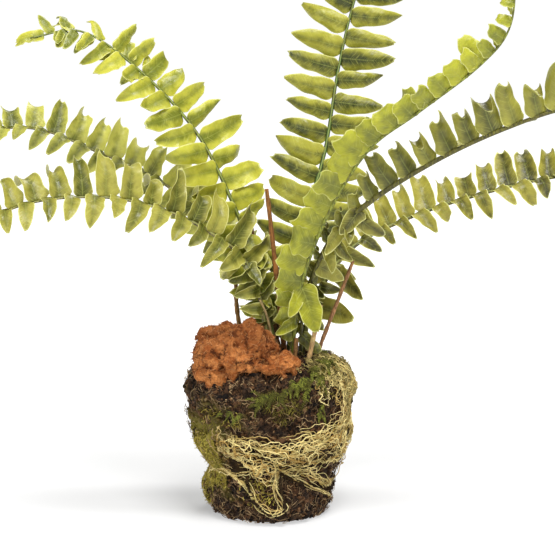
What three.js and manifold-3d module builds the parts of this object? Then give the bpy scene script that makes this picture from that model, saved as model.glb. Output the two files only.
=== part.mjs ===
// A fern growing out of a ball of soil, moss and roots, in millimetres, +Z up.
// The origin is the middle of the flat spot that the ball stands on. +X is to the right and +Y is to the back,
// as the plant is looked at. The ball is a lumpy solid of revolution with a coir lump pressed into its shoulder,
// moss cushions and a net of roots on its skin, and the fronds and dry stalks standing in holes in its top.

import * as THREE from "three";
import { mergeVertices } from "three/addons/utils/BufferGeometryUtils.js";
import Module from "manifold-3d";

const wasm = await Module();
wasm.setup();

// Driving dimensions
const gap = 0.35; // free space left between two pieces that touch
const sliver = 0.03; // detail smaller than this is dropped after fusing
const ballCore = new THREE.Vector3(0, 0, 52); // the skin's pieces swell outwards from here
const ballSides = 26;
// [radius, height] of the ball's side from the middle of its foot to the middle of its top
const ballProfile = [
  [0, 0],
  [29, 0],
  [35, 2.5],
  [38.8, 9],
  [39.4, 19],
  [40.4, 31],
  [43.4, 40],
  [47.4, 49],
  [48.9, 60],
  [48.4, 70],
  [48.9, 79],
  [46, 88],
  [38, 94.5],
  [24, 98],
  [0, 98.8],
];
// Bulges and dents: azimuth in degrees from the front towards the right, height, width in degrees, height span, depth
const ballForms = [
  { azimuth: -92, height: 30, wide: 34, tall: 8, rise: -5 },
  { azimuth: -88, height: 82, wide: 38, tall: 9, rise: 5.5 },
  { azimuth: -85, height: 15, wide: 26, tall: 6, rise: 1.5 },
  { azimuth: 92, height: 20, wide: 40, tall: 12, rise: -1.5 },
  { azimuth: 165, height: 60, wide: 30, tall: 16, rise: -3 },
  { azimuth: 15, height: 36, wide: 22, tall: 7, rise: -2 },
];

// The coir lump: three lobes, each with its middle, half sizes and the detail of its faces
const coirLobes = [
  { at: [-27, -25, 102], half: [20, 18, 21], detail: 2 },
  { at: [-11, -25, 103], half: [15, 15, 21], detail: 2 },
  { at: [5, -33, 97], half: [13, 10, 9], detail: 1 },
];

// Moss cushions: middle azimuth and climb up the profile, half spans in degrees and mm, and thickness
const mossCushions = [
  { name: "moss_shoulder", azimuth: 77, climb: 131, wide: 39, tall: 18, thick: 7, across: 8, up: 5, seed: 3 },
  { name: "moss_front", azimuth: 11, climb: 113, wide: 18, tall: 9, thick: 2.6, across: 6, up: 3, seed: 7 },
  { name: "moss_left", azimuth: -66, climb: 74, wide: 27, tall: 16, thick: 2.6, across: 7, up: 4, seed: 11 },
  { name: "moss_back", azimuth: 192, climb: 114, wide: 44, tall: 19, thick: 3.6, across: 9, up: 4, seed: 17 },
];

// The root net: a band of roots wound round the ball, raised into strands that weave along it
const netBand = { from: -34, to: 190, middle: 73, rise: 0.085, tall: 9, thick: 0.7, strand: 1.6, across: 30, up: 5 };
const netRun = { radius: 0.9, raise: 1.9, steps: 7 };
// Strands that leave the band and come back to it: [azimuth, climb] points on the ball
const netRuns = [
  [[0, 74], [24, 62], [56, 55], [86, 50]],
  [[-20, 74], [-14, 52], [4, 41], [16, 44], [8, 60], [10, 74]],
  [[60, 80], [72, 92], [92, 104], [104, 88], [108, 80]],
  [[150, 86], [166, 66], [186, 60], [196, 74]],
];

// Fronds. rib: points of the midrib from its foot in the soil to its tip. upper: the way the blade's upper side
// looks at the foot and at the tip. lift: how far the leaflets stand up from the blade, in degrees. leaf: the longest
// leaflet. wide: its width as a share of that. first: how far up the rib the leaflets start. taper: the share of
// the blade past which they get shorter. skew: how far the leaflets of both sides turn the same way, in degrees.
const fronds = [
  {
    name: "frond_front",
    rib: [[13, -8, 88], [16, -16, 128], [23, -27, 160], [38, -42, 198], [58, -58, 231], [84, -75, 253], [117, -92, 281], [132, -100, 303], [134, -106, 338]],
    upper: [[-0.9, 0.35, 0.1], [-0.7, 0.5, 0.5]],
    lift: 52,
    leaf: 26,
    first: 20,
    seed: 5,
    taper: 0.4,
    wide: 0.52,
    skew: 0,
  },
  {
    name: "frond_left_high",
    rib: [[6, 1, 88], [-7, 3, 147], [-23, 6, 191], [-45, 11, 233], [-78, 13, 269], [-112, 8, 293], [-142, -2, 290]],
    upper: [[0.3, -1, 0.3], [0.2, -0.8, 0.7]],
    lift: 8,
    leaf: 28,
    first: 26,
    seed: 1,
    taper: 0.42,
    wide: 0.44,
    skew: -10,
  },
  {
    name: "frond_left_back",
    rib: [[3, 7, 88], [-9, 12, 141], [-35, 30, 170], [-68, 45, 198], [-106, 57, 214], [-152, 66, 229], [-212, 72, 222]],
    upper: [[0.1, -0.8, 0.6], [0, -0.7, 0.8]],
    lift: 14,
    leaf: 23,
    first: 30,
    seed: 2,
    taper: 0.7,
    wide: 0.48,
    skew: 0,
  },
  {
    name: "frond_left_low",
    rib: [[2, -4, 88], [-11, -8, 150], [-39, -14, 177], [-71, -20, 192], [-104, -26, 198], [-145, -32, 194], [-190, -36, 174]],
    upper: [[0.2, -0.8, 0.6], [0, -0.8, 0.6]],
    lift: 22,
    leaf: 25,
    first: 30,
    seed: 3,
    taper: 0.7,
    wide: 0.46,
    skew: 0,
  },
  {
    name: "frond_back",
    rib: [[11, 9, 88], [14, 12, 129], [23, 22, 180], [34, 32, 220], [42, 42, 268], [52, 50, 310], [68, 54, 355]],
    upper: [[0.05, -1, 0.3], [0, -1, 0.4]],
    lift: 4,
    leaf: 31,
    first: 30,
    seed: 4,
    taper: 0.82,
    wide: 0.4,
    skew: 0,
  },
  {
    name: "frond_right_high",
    rib: [[18, -4, 88], [21, -11, 133], [36, -24, 172], [60, -38, 198], [98, -52, 224], [136, -62, 243], [172, -68, 255], [216, -74, 256]],
    upper: [[-0.2, 0.65, 0.7], [-0.1, 0.6, 0.8]],
    lift: 42,
    leaf: 27,
    first: 34,
    seed: 6,
    taper: 0.8,
    wide: 0.46,
    skew: 0,
  },
  {
    name: "frond_right_low",
    rib: [[18, 4, 88], [26, 8, 127], [49, 20, 159], [84, 34, 176], [128, 46, 189], [179, 58, 199], [224, 64, 201], [260, 68, 192]],
    upper: [[0, -0.6, 0.8], [0, -0.5, 0.85]],
    lift: 28,
    leaf: 25,
    first: 24,
    seed: 8,
    taper: 0.75,
    wide: 0.46,
    skew: 0,
  },
];
const ribFoot = 1.6; // radius of a midrib in the soil
const ribTip = 0.55;
const ribStep = 24; // length of one straight stretch of a midrib
const footDepth = 13; // how much of a midrib or stalk stands in its hole

// One leaflet: its shape as shares of its length, and its angles in degrees
const leafThick = 0.65;
const leafPitch = 13.6; // spacing of the longest leaflets along one side of the rib
const leafSweep = 1; // lean towards the frond's tip
const leafHook = 0.07; // how far its tip hooks the same way
const leafCup = 0.3; // how far its edges curl back
const leafShingle = 13; // turn about its own length, so that it laps over the next one
const leafDroop = 0.16; // how far its tip bends back
const leafStations = [0, 0.23, 0.76, 1]; // where its outline has points
const leafSmall = 24.9; // a leaflet shorter than this is flat across
// A leaflet that would meet another frond is folded towards the tip and grows shorter, in these steps
const leafFits = [
  { grow: 1, fold: 0 },
  { grow: 0.86, fold: 12 },
  { grow: 0.72, fold: 26 },
  { grow: 0.56, fold: 40 },
];

// Dry stalks: points of the stalk from its foot, and the radii of its foot and top
const stalks = [
  { name: "stalk_tall", line: [[10, 0, 87], [5, -3, 137], [0, -5, 183], [-2, -5, 200]], foot: 2, top: 1.3 },
  { name: "stalk_left", line: [[8, 5, 87], [1, 7, 123], [-9, 8, 164], [-11, 8, 178]], foot: 1.7, top: 0.7 },
  { name: "stalk_far_left", line: [[-14, 9, 87], [-20, 9, 122], [-21, 9, 144]], foot: 1.7, top: 1.4 },
  { name: "stalk_right", line: [[24.5, -6, 87], [32, -8, 109], [41, -9, 133], [50, -9, 157]], foot: 1.4, top: 1.1 },
  { name: "stalk_pale", line: [[20, -15, 86], [24, -15, 101], [30.5, -14, 131]], foot: 1.6, top: 1.4 },
  { name: "stalk_thin", line: [[5, -12, 88], [-1, -13, 121], [-6, -14, 134]], foot: 0.9, top: 0.7 },
  { name: "stalk_stub", line: [[14, -16, 86], [15, -16, 98], [16, -16, 111]], foot: 1.5, top: 1.3 },
];

const colours = {
  soil: { color: 0x3f2c1c, roughness: 0.95, metalness: 0 },
  coir: { color: 0x985526, roughness: 0.9, metalness: 0 },
  moss: { color: 0x5d6a22, roughness: 0.95, metalness: 0 },
  root: { color: 0xb69c5d, roughness: 0.8, metalness: 0 },
  leaf: { color: 0x8b9435, roughness: 0.45, metalness: 0 },
  stalk: { color: 0x7d4f28, roughness: 0.7, metalness: 0 },
};

// Small tools
const sideways = () => new THREE.Vector3(0.21, 0.97, 0.13);
const radians = THREE.MathUtils.degToRad;
const vector = (values) => new THREE.Vector3(...values);
const smooth = (values) => new THREE.CatmullRomCurve3(values.map(vector), false, "catmullrom", 0.5);

// A repeatable draw from 0 to 1, and one from -half to half.
function draw(seed, turn) {
  const value = Math.sin(seed * 12.9898 + turn * 78.233) * 43758.5453;
  return value - Math.floor(value);
}
const spread = (seed, turn, half) => (2 * draw(seed, turn) - 1) * half;

// Moves every vertex of a geometry to where place(x, y, z) says.
function reshape(geometry, place) {
  const position = geometry.getAttribute("position");
  for (let i = 0; i < position.count; i++) {
    const to = place(position.getX(i), position.getY(i), position.getZ(i));
    position.setXYZ(i, to.x, to.y, to.z);
  }
  return geometry;
}

// A sheet with a thickness. place(x, y, z) says where its points go, for z of half and -half, and both of its
// faces are split into triangles alike, so they can't cross where the sheet is waved.
function blade(sheet, place) {
  const flat = sheet.getAttribute("position");
  const faces = [];
  const rim = new Map();
  const triangles = sheet.getIndex().array;
  for (let i = 0; i < triangles.length; i += 3) {
    const [a, b, c] = triangles.slice(i, i + 3);
    faces.push(a, b, c, flat.count + c, flat.count + b, flat.count + a);
    for (const [from, to] of [[a, b], [b, c], [c, a]]) {
      if (!rim.delete(`${to} ${from}`)) rim.set(`${from} ${to}`, [from, to]);
    }
  }
  for (const [from, to] of rim.values()) {
    faces.push(to, from, flat.count + from, to, flat.count + from, flat.count + to);
  }
  const corners = [0.5, -0.5].flatMap((z) =>
    Array.from({ length: flat.count }, (_, i) => place(flat.getX(i), flat.getY(i), z).toArray()),
  );
  const geometry = new THREE.BufferGeometry();
  geometry.setAttribute("position", new THREE.Float32BufferAttribute(corners.flat(), 3));
  geometry.setIndex(faces);
  return geometry;
}

// A closed geometry as a solid, whichever way its faces were turned by its reshaping.
function solidOf(geometry) {
  const bare = new THREE.BufferGeometry();
  bare.setAttribute("position", geometry.getAttribute("position"));
  bare.setIndex(geometry.getIndex());
  const merged = mergeVertices(bare, 1e-4);
  const from = merged.getIndex().array;
  const corner = merged.getAttribute("position");
  const kept = [];
  let volume = 0;
  for (let i = 0; i < from.length; i += 3) {
    const [a, b, c] = from.slice(i, i + 3);
    if (a === b || b === c || c === a) continue;
    kept.push(a, b, c);
    const [p, q, r] = [a, b, c].map((k) => new THREE.Vector3().fromBufferAttribute(corner, k));
    volume += p.dot(q.cross(r));
  }
  if (volume < 0) kept.reverse();
  const mesh = new wasm.Mesh({ numProp: 3, vertProperties: corner.array, triVerts: new Uint32Array(kept) });
  return new wasm.Manifold(mesh);
}

// A fused solid without the hollows, scraps and slivers that the fusing leaves.
function wholeOf(solid) {
  const pieces = solid.simplify(sliver).decompose();
  return pieces.reduce((largest, piece) => (piece.volume() > largest.volume() ? piece : largest));
}

function geometryOf(solid) {
  const mesh = solid.getMesh();
  const corners = new Float32Array(mesh.numVert * 3);
  for (let i = 0; i < mesh.numVert; i++) {
    corners.set(mesh.vertProperties.subarray(i * mesh.numProp, i * mesh.numProp + 3), i * 3);
  }
  const geometry = new THREE.BufferGeometry();
  geometry.setAttribute("position", new THREE.BufferAttribute(corners, 3));
  geometry.setIndex(new THREE.BufferAttribute(mesh.triVerts, 1));
  geometry.computeVertexNormals();
  return geometry;
}

// A tube round the stretch of a curve from one length to another, both in mm, with a radius that changes evenly.
// upper(share) is a way that one of its flats looks.
function tube(curve, { from = 0, to, foot, top, sides, steps, upper = sideways }) {
  const whole = curve.getLength();
  const end = to ?? whole;
  const rings = steps ?? Math.ceil((end - from) / ribStep);
  const bent = new THREE.CylinderGeometry(1, 1, 1, sides, rings, false, Math.PI / sides);
  return reshape(bent, (x, y, z) => {
    const share = y + 0.5;
    const at = (from + (end - from) * share) / whole;
    const inside = THREE.MathUtils.clamp(at, 0, 1);
    const tangent = curve.getTangentAt(inside);
    const across = tangent.clone().cross(upper(inside)).normalize();
    const over = across.clone().cross(tangent);
    const radius = foot + (top - foot) * share;
    return curve
      .getPointAt(inside)
      .addScaledVector(tangent, (at - inside) * whole)
      .addScaledVector(across, x * radius)
      .addScaledVector(over, z * radius);
  });
}

// The ball's skin
function ballRelief(azimuth, height) {
  const turn = radians(azimuth);
  const fade = THREE.MathUtils.smoothstep(height, 1, 12) * (1 - THREE.MathUtils.smoothstep(height, 90, 98));
  let rise =
    1.0 * Math.sin(3 * turn + height / 9) +
    1.1 * Math.sin(5 * turn - height / 6 + 1) +
    0.8 * Math.sin(9 * turn + height / 4);
  for (const form of ballForms) {
    const aside = ((azimuth - form.azimuth + 540) % 360) - 180;
    rise += form.rise * Math.exp(-((aside / form.wide) ** 2) - ((height - form.height) / form.tall) ** 2);
  }
  return rise * fade;
}

// The point at an azimuth and a climb up the profile, raised above the skin.
function onBall(azimuth, climb, raise = 0) {
  let left = Math.max(climb, 0);
  let k = 1;
  const stretch = (i) =>
    Math.hypot(ballProfile[i][0] - ballProfile[i - 1][0], ballProfile[i][1] - ballProfile[i - 1][1]);
  while (k < ballProfile.length - 1 && left > stretch(k)) left -= stretch(k++);
  const share = Math.min(left / stretch(k), 1);
  const radius = THREE.MathUtils.lerp(ballProfile[k - 1][0], ballProfile[k][0], share);
  const height = THREE.MathUtils.lerp(ballProfile[k - 1][1], ballProfile[k][1], share);
  return raised(azimuth, radius, height, raise);
}

function raised(azimuth, radius, height, raise) {
  const far = radius > 0 ? radius + ballRelief(azimuth, height) : 0;
  const turn = radians(azimuth);
  const point = new THREE.Vector3(far * Math.sin(turn), -far * Math.cos(turn), height);
  const outwards = point.clone().sub(ballCore).normalize();
  return point.addScaledVector(outwards, raise);
}

// The bare ball, or one swollen by a raise, which cuts the undersides of what lies on the ball.
function ball(raise = 0) {
  const profile = ballProfile.map(([radius, height]) => new THREE.Vector2(radius, height));
  const turned = new THREE.LatheGeometry(profile, ballSides);
  return solidOf(
    reshape(turned, (x, y, z) => {
      const radius = Math.hypot(x, z);
      const azimuth = THREE.MathUtils.radToDeg(Math.atan2(x, z));
      return raised(azimuth, radius < 1e-6 ? 0 : radius, y, raise);
    }),
  );
}

// A knobbly lobe of coir, swollen by a raise.
function coirLobe({ at, half, detail }, raise) {
  const middle = vector(at);
  const round = new THREE.IcosahedronGeometry(1, detail);
  return solidOf(
    reshape(round, (x, y, z) => {
      const p = new THREE.Vector3(x * half[0], y * half[1], z * half[2]);
      const knobs =
        1.5 * Math.sin(p.x / 3.1 + p.y / 4 + at[0]) * Math.sin(p.z / 3.3 + 1) +
        1.3 * Math.sin(p.y / 2.9 - p.z / 3.7 + at[2]) * Math.sin(p.x / 2.6);
      const outwards = p.clone().normalize();
      return p.addScaledVector(outwards, knobs + raise).add(middle);
    }),
  );
}

const coir = (raise = 0) => wasm.Manifold.union(coirLobes.map((lobe) => coirLobe(lobe, raise)));

// A moss cushion: a round-cornered pad on the ball's skin, thickest in its middle, with tufts raised all over it.
function mossCushion({ azimuth, climb, wide, tall, thick, across, up, seed }) {
  const pad = new THREE.BoxGeometry(2, 2, 1, across, up, 1);
  return solidOf(
    reshape(pad, (x, y, z) => {
      const u = x * Math.sqrt(1 - (y * y) / 2.4);
      const v = y * Math.sqrt(1 - (x * x) / 2.4);
      const middle = 1 - Math.max(x * x, y * y);
      const tuft = 0.5 + 0.5 * Math.sin(4.7 * x + seed + 3 * y) * Math.sin(5.3 * y - seed);
      const over = 0.9 + thick * middle * (0.35 + 0.65 * tuft);
      const edge = 1 + 0.16 * Math.sin(3 * Math.atan2(y, x) + seed);
      return onBall(azimuth + wide * u * edge, climb + tall * v * edge, z < 0 ? -1 : over);
    }),
  );
}

// The root net: its band and the strands that leave it.
function rootNet() {
  const { from, to, middle, rise, tall, thick, strand, across, up } = netBand;
  const band = reshape(new THREE.BoxGeometry(1, 2, 1, across, up, 1), (x, y, z) => {
    const share = x + 0.5;
    const azimuth = from + (to - from) * share;
    const narrow = 0.35 + 0.65 * Math.sin(Math.PI * Math.min(1, 0.12 + share * 0.95));
    const weave = Math.abs(Math.sin(4.7 * y + 1.6 * Math.sin(azimuth / 9) + 0.8 * Math.sin(azimuth / 5)));
    const climb = middle + rise * (azimuth - from) + y * tall * narrow + 1.6 * Math.sin(azimuth / 11);
    return onBall(azimuth, climb, z < 0 ? -1 : thick + strand * weave);
  });
  const { radius, raise, steps } = netRun;
  const runs = netRuns.map((points) => {
    const places = points.map(([azimuth, climb]) => onBall(azimuth, climb, raise).toArray());
    return solidOf(tube(smooth(places), { foot: radius, top: radius, sides: 3, steps }));
  });
  return wasm.Manifold.union([solidOf(band), ...runs]);
}

// The midrib's own frame at a length along it: its point, the way it runs, the way the blade's upper side looks,
// and the way across the blade.
const upperOf = (frond) => (share) => vector(frond.upper[0]).lerp(vector(frond.upper[1]), share);

function ribFrame(frond, length) {
  const share = length / frond.curve.getLength();
  const along = frond.curve.getTangentAt(share);
  const upper = upperOf(frond)(share);
  upper.addScaledVector(along, -upper.dot(along)).normalize();
  return { point: frond.curve.getPointAt(share), along, upper, across: along.clone().cross(upper) };
}

// How long the leaflets are at a share of the blade, against the longest: short at the foot, and shorter
// towards the tip from the share where the blade tapers.
const leafGrowth = (share, taper) =>
  (0.62 + 0.38 * Math.sin((Math.PI / 2) * Math.min(1, share / 0.22))) *
  (1 - 0.62 * Math.max(0, (share - taper) / (1 - taper)) ** 1.4);

// Half the width of a leaflet at a share of its length, against the widest.
const leafOutline = (share) =>
  Math.sin((Math.PI / 2) * Math.min(1, share / 0.22)) * (1 - Math.max(0, (share - 0.3) / 0.7) ** 2.8);

// The places of a frond's leaflets: one for each side of the rib, a half step apart, and one at the tip.
function leafPlaces(frond) {
  const whole = frond.curve.getLength();
  const places = [];
  let length = frond.first;
  for (let pair = 0; length < whole - 8; pair++) {
    const share = (length - frond.first) / (whole - frond.first);
    const growth = leafGrowth(share, frond.taper);
    const long = frond.leaf * growth;
    const step = leafPitch * (0.45 + 0.55 * growth);
    for (const side of [-1, 1]) {
      const seed = frond.seed * 100 + pair * 2 + (side > 0 ? 1 : 0);
      places.push({
        side,
        seed,
        length: length + (side > 0 ? step / 2 : 0),
        long: long * (1 + spread(seed, 1, 0.08)),
        sweep: leafSweep + side * frond.skew + 40 * Math.max(0, share - 0.7) + spread(seed, 2, 4),
        lift: frond.lift + spread(seed, 3, 9),
        twist: leafShingle + spread(seed, 4, 8),
        droop: leafDroop * (1 + spread(seed, 5, 0.9)),
      });
    }
    length += step;
  }
  places.push({ side: 1, seed: frond.seed, length: whole - 2, long: 12, sweep: 86, lift: 0, twist: 0, droop: 0.1 });
  return places.filter((place) => place.length < whole - 1);
}

// The solid of one leaflet: a thin hooked blade that is cupped across and droops to its tip.
function leaflet(frond, place, fit) {
  const frame = ribFrame(frond, place.length);
  const sweep = radians(place.sweep + fit.fold);
  const lift = radians(place.lift);
  const twist = radians(place.twist);
  const flat = frame.across.clone().multiplyScalar(place.side * Math.cos(sweep));
  flat.addScaledVector(frame.along, Math.sin(sweep));
  const out = flat.clone().multiplyScalar(Math.cos(lift)).addScaledVector(frame.upper, Math.sin(lift));
  const top = frame.upper.clone().multiplyScalar(Math.cos(lift)).addScaledVector(flat, -Math.sin(lift));
  const aside = frame.along.clone().multiplyScalar(Math.cos(sweep));
  aside.addScaledVector(frame.across, -place.side * Math.sin(sweep));
  const wide = aside.clone().multiplyScalar(Math.cos(twist)).addScaledVector(top, Math.sin(twist));
  const thick = top.clone().multiplyScalar(Math.cos(twist)).addScaledVector(aside, -Math.sin(twist));
  const long = place.long * fit.grow;
  const cells = leafStations.length - 1;
  return solidOf(
    blade(new THREE.PlaneGeometry(1, 2, cells, long < leafSmall ? 1 : 2), (x, y, z) => {
      const share = leafStations[Math.round((x + 0.5) * cells)];
      const half = (long * frond.wide * leafOutline(share)) / 2;
      const ear = y < 0 ? 1 + 0.15 * Math.exp(-(((share - 0.16) / 0.14) ** 2)) : 1;
      const curl = -leafCup * half * y * y - place.droop * long * share * share + leafCup * half * 0.4;
      return frame.point
        .clone()
        .addScaledVector(out, long * share)
        .addScaledVector(wide, half * ear * y + leafHook * long * share * share)
        .addScaledVector(thick, curl * Math.min(1, share * 6) + leafThick * z);
    }),
  );
}

// True if two boxes come within the gap of each other.
function near(a, b) {
  return [0, 1, 2].every((k) => a.min[k] - gap < b.max[k] && b.min[k] - gap < a.max[k]);
}

const entry = (owner, solid) => ({ owner, solid, box: solid.boundingBox() });

function isClear(solid, owner, others) {
  const box = solid.boundingBox();
  return others.every(
    (other) => other.owner === owner || !near(box, other.box) || solid.minGap(other.solid, 1) >= gap,
  );
}

// Assembly
const nodes = new Map(); // name to solid and finish
const stems = [
  ...fronds.map((frond) => {
    frond.curve = smooth(frond.rib);
    return { name: frond.name, curve: frond.curve, foot: ribFoot, top: ribTip, sides: 4, upper: upperOf(frond) };
  }),
  ...stalks.map(({ name, line, foot, top }) => ({ name, curve: smooth(line), foot, top, sides: 6 })),
];
for (const stem of stems) {
  stem.solid = solidOf(tube(stem.curve, stem));
}

const holes = stems.map(({ curve, foot, sides, upper }) => {
  const wide = foot + gap / Math.cos(Math.PI / sides);
  return solidOf(tube(curve, { from: -gap, to: footDepth + 8, foot: wide, top: wide, sides, steps: 2, upper }));
});
const soil = wasm.Manifold.difference([ball(), coir(gap), ...holes]);
nodes.set("soil_ball", { solid: wholeOf(soil), finish: "soil" });
nodes.set("coir_lump", { solid: coir(), finish: "coir" });

const cutters = [ball(gap), coir(gap), ...holes];
const fitted = (solid) => wholeOf(wasm.Manifold.difference([solid, ...cutters]));
for (const cushion of mossCushions) {
  nodes.set(cushion.name, { solid: fitted(mossCushion(cushion)), finish: "moss" });
}
nodes.set("root_net", { solid: fitted(rootNet()), finish: "root" });

const placed = [...nodes].map(([name, { solid }]) => entry(name, solid));
for (const stem of stems) placed.push(entry(stem.name, stem.solid));

const blades = new Map(stems.map(({ name, solid }) => [name, [solid]]));
const leaves = fronds.flatMap((frond) => leafPlaces(frond).map((place) => ({ frond, place })));
leaves.sort((a, b) => b.place.length - a.place.length);
for (const { frond, place } of leaves) {
  for (const fit of leafFits) {
    const solid = leaflet(frond, place, fit);
    if (!isClear(solid, frond.name, placed)) continue;
    placed.push(entry(frond.name, solid));
    blades.get(frond.name).push(solid);
    break;
  }
}
for (const [name, solids] of blades) {
  const finish = name.startsWith("frond") ? "leaf" : "stalk";
  nodes.set(name, { solid: wholeOf(wasm.Manifold.union(solids)), finish });
}

const plant = new THREE.Group();
for (const [name, { solid, finish }] of nodes) {
  const mesh = new THREE.Mesh(geometryOf(solid), new THREE.MeshStandardMaterial(colours[finish]));
  mesh.name = name;
  plant.add(mesh);
}

export default plant;
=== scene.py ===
import math

import bmesh
import bpy
import numpy as np
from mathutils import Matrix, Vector, noise
from mathutils.bvhtree import BVHTree
from mathutils.kdtree import KDTree


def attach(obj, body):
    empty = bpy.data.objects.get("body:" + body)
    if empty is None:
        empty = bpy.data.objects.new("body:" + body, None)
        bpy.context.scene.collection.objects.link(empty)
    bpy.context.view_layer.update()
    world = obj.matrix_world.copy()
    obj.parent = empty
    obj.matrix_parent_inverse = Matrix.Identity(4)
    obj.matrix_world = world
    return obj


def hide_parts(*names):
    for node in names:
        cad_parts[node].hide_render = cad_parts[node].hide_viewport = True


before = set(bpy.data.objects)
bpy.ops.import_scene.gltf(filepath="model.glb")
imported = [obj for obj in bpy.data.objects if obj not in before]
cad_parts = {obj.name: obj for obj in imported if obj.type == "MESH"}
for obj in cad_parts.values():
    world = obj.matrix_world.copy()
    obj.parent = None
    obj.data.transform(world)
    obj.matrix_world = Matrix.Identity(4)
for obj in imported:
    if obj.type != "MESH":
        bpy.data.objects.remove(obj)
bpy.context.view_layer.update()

# A fern growing out of a ball of soil, moss and roots. +X is to the right, +Y to the back, +Z up.
# Shapes are worked out in millimetres, with the part's own sizes, and turn to metres as they become meshes.
# An azimuth is in degrees from the front towards the right, and a climb is a way up the ball's side from its foot.
mm = 0.001
fullTurn = 6.28  # radians, near enough for a random start


def draw(seed, turn):  # the part's own repeatable draw, 0 to 1
    value = math.sin(seed * 12.9898 + turn * 78.233) * 43758.5453
    return value - math.floor(value)


def spread(seed, turn, half):
    return (2 * draw(seed, turn) - 1) * half


def ease(x, low, high):
    share = np.clip((np.asarray(x, float) - low) / (high - low), 0, 1)
    return share * share * (3 - 2 * share)


def unit(vectors):
    return vectors / np.maximum(np.linalg.norm(vectors, axis=-1, keepdims=True), 1e-9)


def grain(points, size, shift=0.0):  # soft noise at each point, -1 to 1
    return np.array([noise.noise(Vector(p) / size + Vector((shift, 0, 0))) for p in points])


def crumble(points, size, shift=0.0):  # round lumps with creases between them, 0 to 1
    return np.array([1 - min(noise.voronoi(Vector(p) / size + Vector((shift, 0, 0)))[0][0], 1) for p in points])


def randomTurns(count, rng):  # one rotation matrix for each copy
    w, x, y, z = unit(rng.normal(size=(count, 4))).T
    rows = [
        [1 - 2 * (y * y + z * z), 2 * (x * y - z * w), 2 * (x * z + y * w)],
        [2 * (x * y + z * w), 1 - 2 * (x * x + z * z), 2 * (y * z - x * w)],
        [2 * (x * z - y * w), 2 * (y * z + x * w), 1 - 2 * (x * x + y * y)],
    ]
    return np.moveaxis(np.array(rows), 2, 0)


class Rib:  # a smooth curve through points, with places by share of its length
    def __init__(self, points):
        pts = np.array(points, float)
        self.points = np.vstack([2 * pts[0] - pts[1], pts, 2 * pts[-1] - pts[-2]])
        steps = self.at(np.linspace(0, 1, 201))
        self.lengths = np.concatenate([[0], np.cumsum(np.linalg.norm(np.diff(steps, axis=0), axis=1))])
        self.whole = self.lengths[-1]

    def at(self, t):
        place = np.clip(np.atleast_1d(t), 0, 1) * (len(self.points) - 3)
        k = np.minimum(place.astype(int), len(self.points) - 4)
        w = (place - k)[:, None]
        a, b, c, d = (self.points[k + i] for i in range(4))
        t0, t1 = 0.5 * (c - a), 0.5 * (d - b)
        return b + t0 * w + (-3 * b + 3 * c - 2 * t0 - t1) * w**2 + (2 * b - 2 * c + t0 + t1) * w**3

    def turnAt(self, share):
        return np.interp(np.atleast_1d(share) * self.whole, self.lengths, np.linspace(0, 1, 201))

    def pointAt(self, share):
        return self.at(self.turnAt(share))

    def tangentAt(self, share):
        turn = self.turnAt(share)
        return unit(self.at(turn + 0.0001) - self.at(turn - 0.0001))


class Stamp:  # a small shape made by bmesh, of which many copies are laid down in one mesh
    def __init__(self, bm, rings=1):
        bm.verts.index_update()
        points = np.round([v.co for v in bm.verts], 5) + 0.0
        order = np.lexsort(points.T)  # a fixed order, because an operator's own can change between runs
        place = np.argsort(order)
        faces = [[int(place[v.index]) for v in f.verts] for f in bm.faces]
        starts = [face.index(min(face)) for face in faces]
        faces = sorted(face[start:] + face[:start] for face, start in zip(faces, starts))
        self.points = points[order]
        self.corners = np.concatenate(faces)
        self.sizes = np.array([len(face) for face in faces])
        self.rings = rings
        self.ring = np.rint(self.points[:, 2]).astype(int)  # which ring of a tube each point is on
        bm.free()


def pebbleStamp():
    bm = bmesh.new()
    bmesh.ops.create_icosphere(bm, subdivisions=1, radius=1)
    return Stamp(bm)


def tubeStamp(rings, sides):  # x and y go round it, and z counts its rings
    bm = bmesh.new()
    bmesh.ops.create_circle(bm, segments=sides, radius=1)
    loop = list(bm.edges)
    for ring in range(1, rings):
        grown = bmesh.ops.extrude_edge_only(bm, edges=loop)["geom"]
        bmesh.ops.translate(bm, verts=[v for v in grown if isinstance(v, bmesh.types.BMVert)], vec=(0, 0, 1))
        loop = [e for e in grown if isinstance(e, bmesh.types.BMEdge)]
    bmesh.ops.holes_fill(bm, edges=bm.edges, sides=sides)
    bmesh.ops.recalc_face_normals(bm, faces=bm.faces)
    return Stamp(bm, rings)


def bladeStamp(lengthways, across):  # x and y fill -1 to 1, and z tells the upper face from the lower
    bm = bmesh.new()
    bmesh.ops.create_grid(bm, x_segments=lengthways, y_segments=across, size=1)
    bmesh.ops.solidify(bm, geom=bm.faces[:], thickness=1)
    bmesh.ops.recalc_face_normals(bm, faces=bm.faces)
    stamp = Stamp(bm)
    stamp.points[:, 2] = np.where(stamp.points[:, 2] > stamp.points[:, 2].mean(), 0.5, -0.5)
    return stamp


# what is laid down many times: each tube with its rings and its sides
pebble = pebbleStamp()
sprigTube = tubeStamp(4, 3)
mossTube = tubeStamp(6, 3)
hairTube = tubeStamp(7, 3)
stemTube = tubeStamp(14, 4)
threadTube = tubeStamp(24, 3)
netTube = tubeStamp(40, 3)
stalkTube = tubeStamp(60, 12)
ribTube = tubeStamp(90, 10)
leafBlade = bladeStamp(18, 10)


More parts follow.
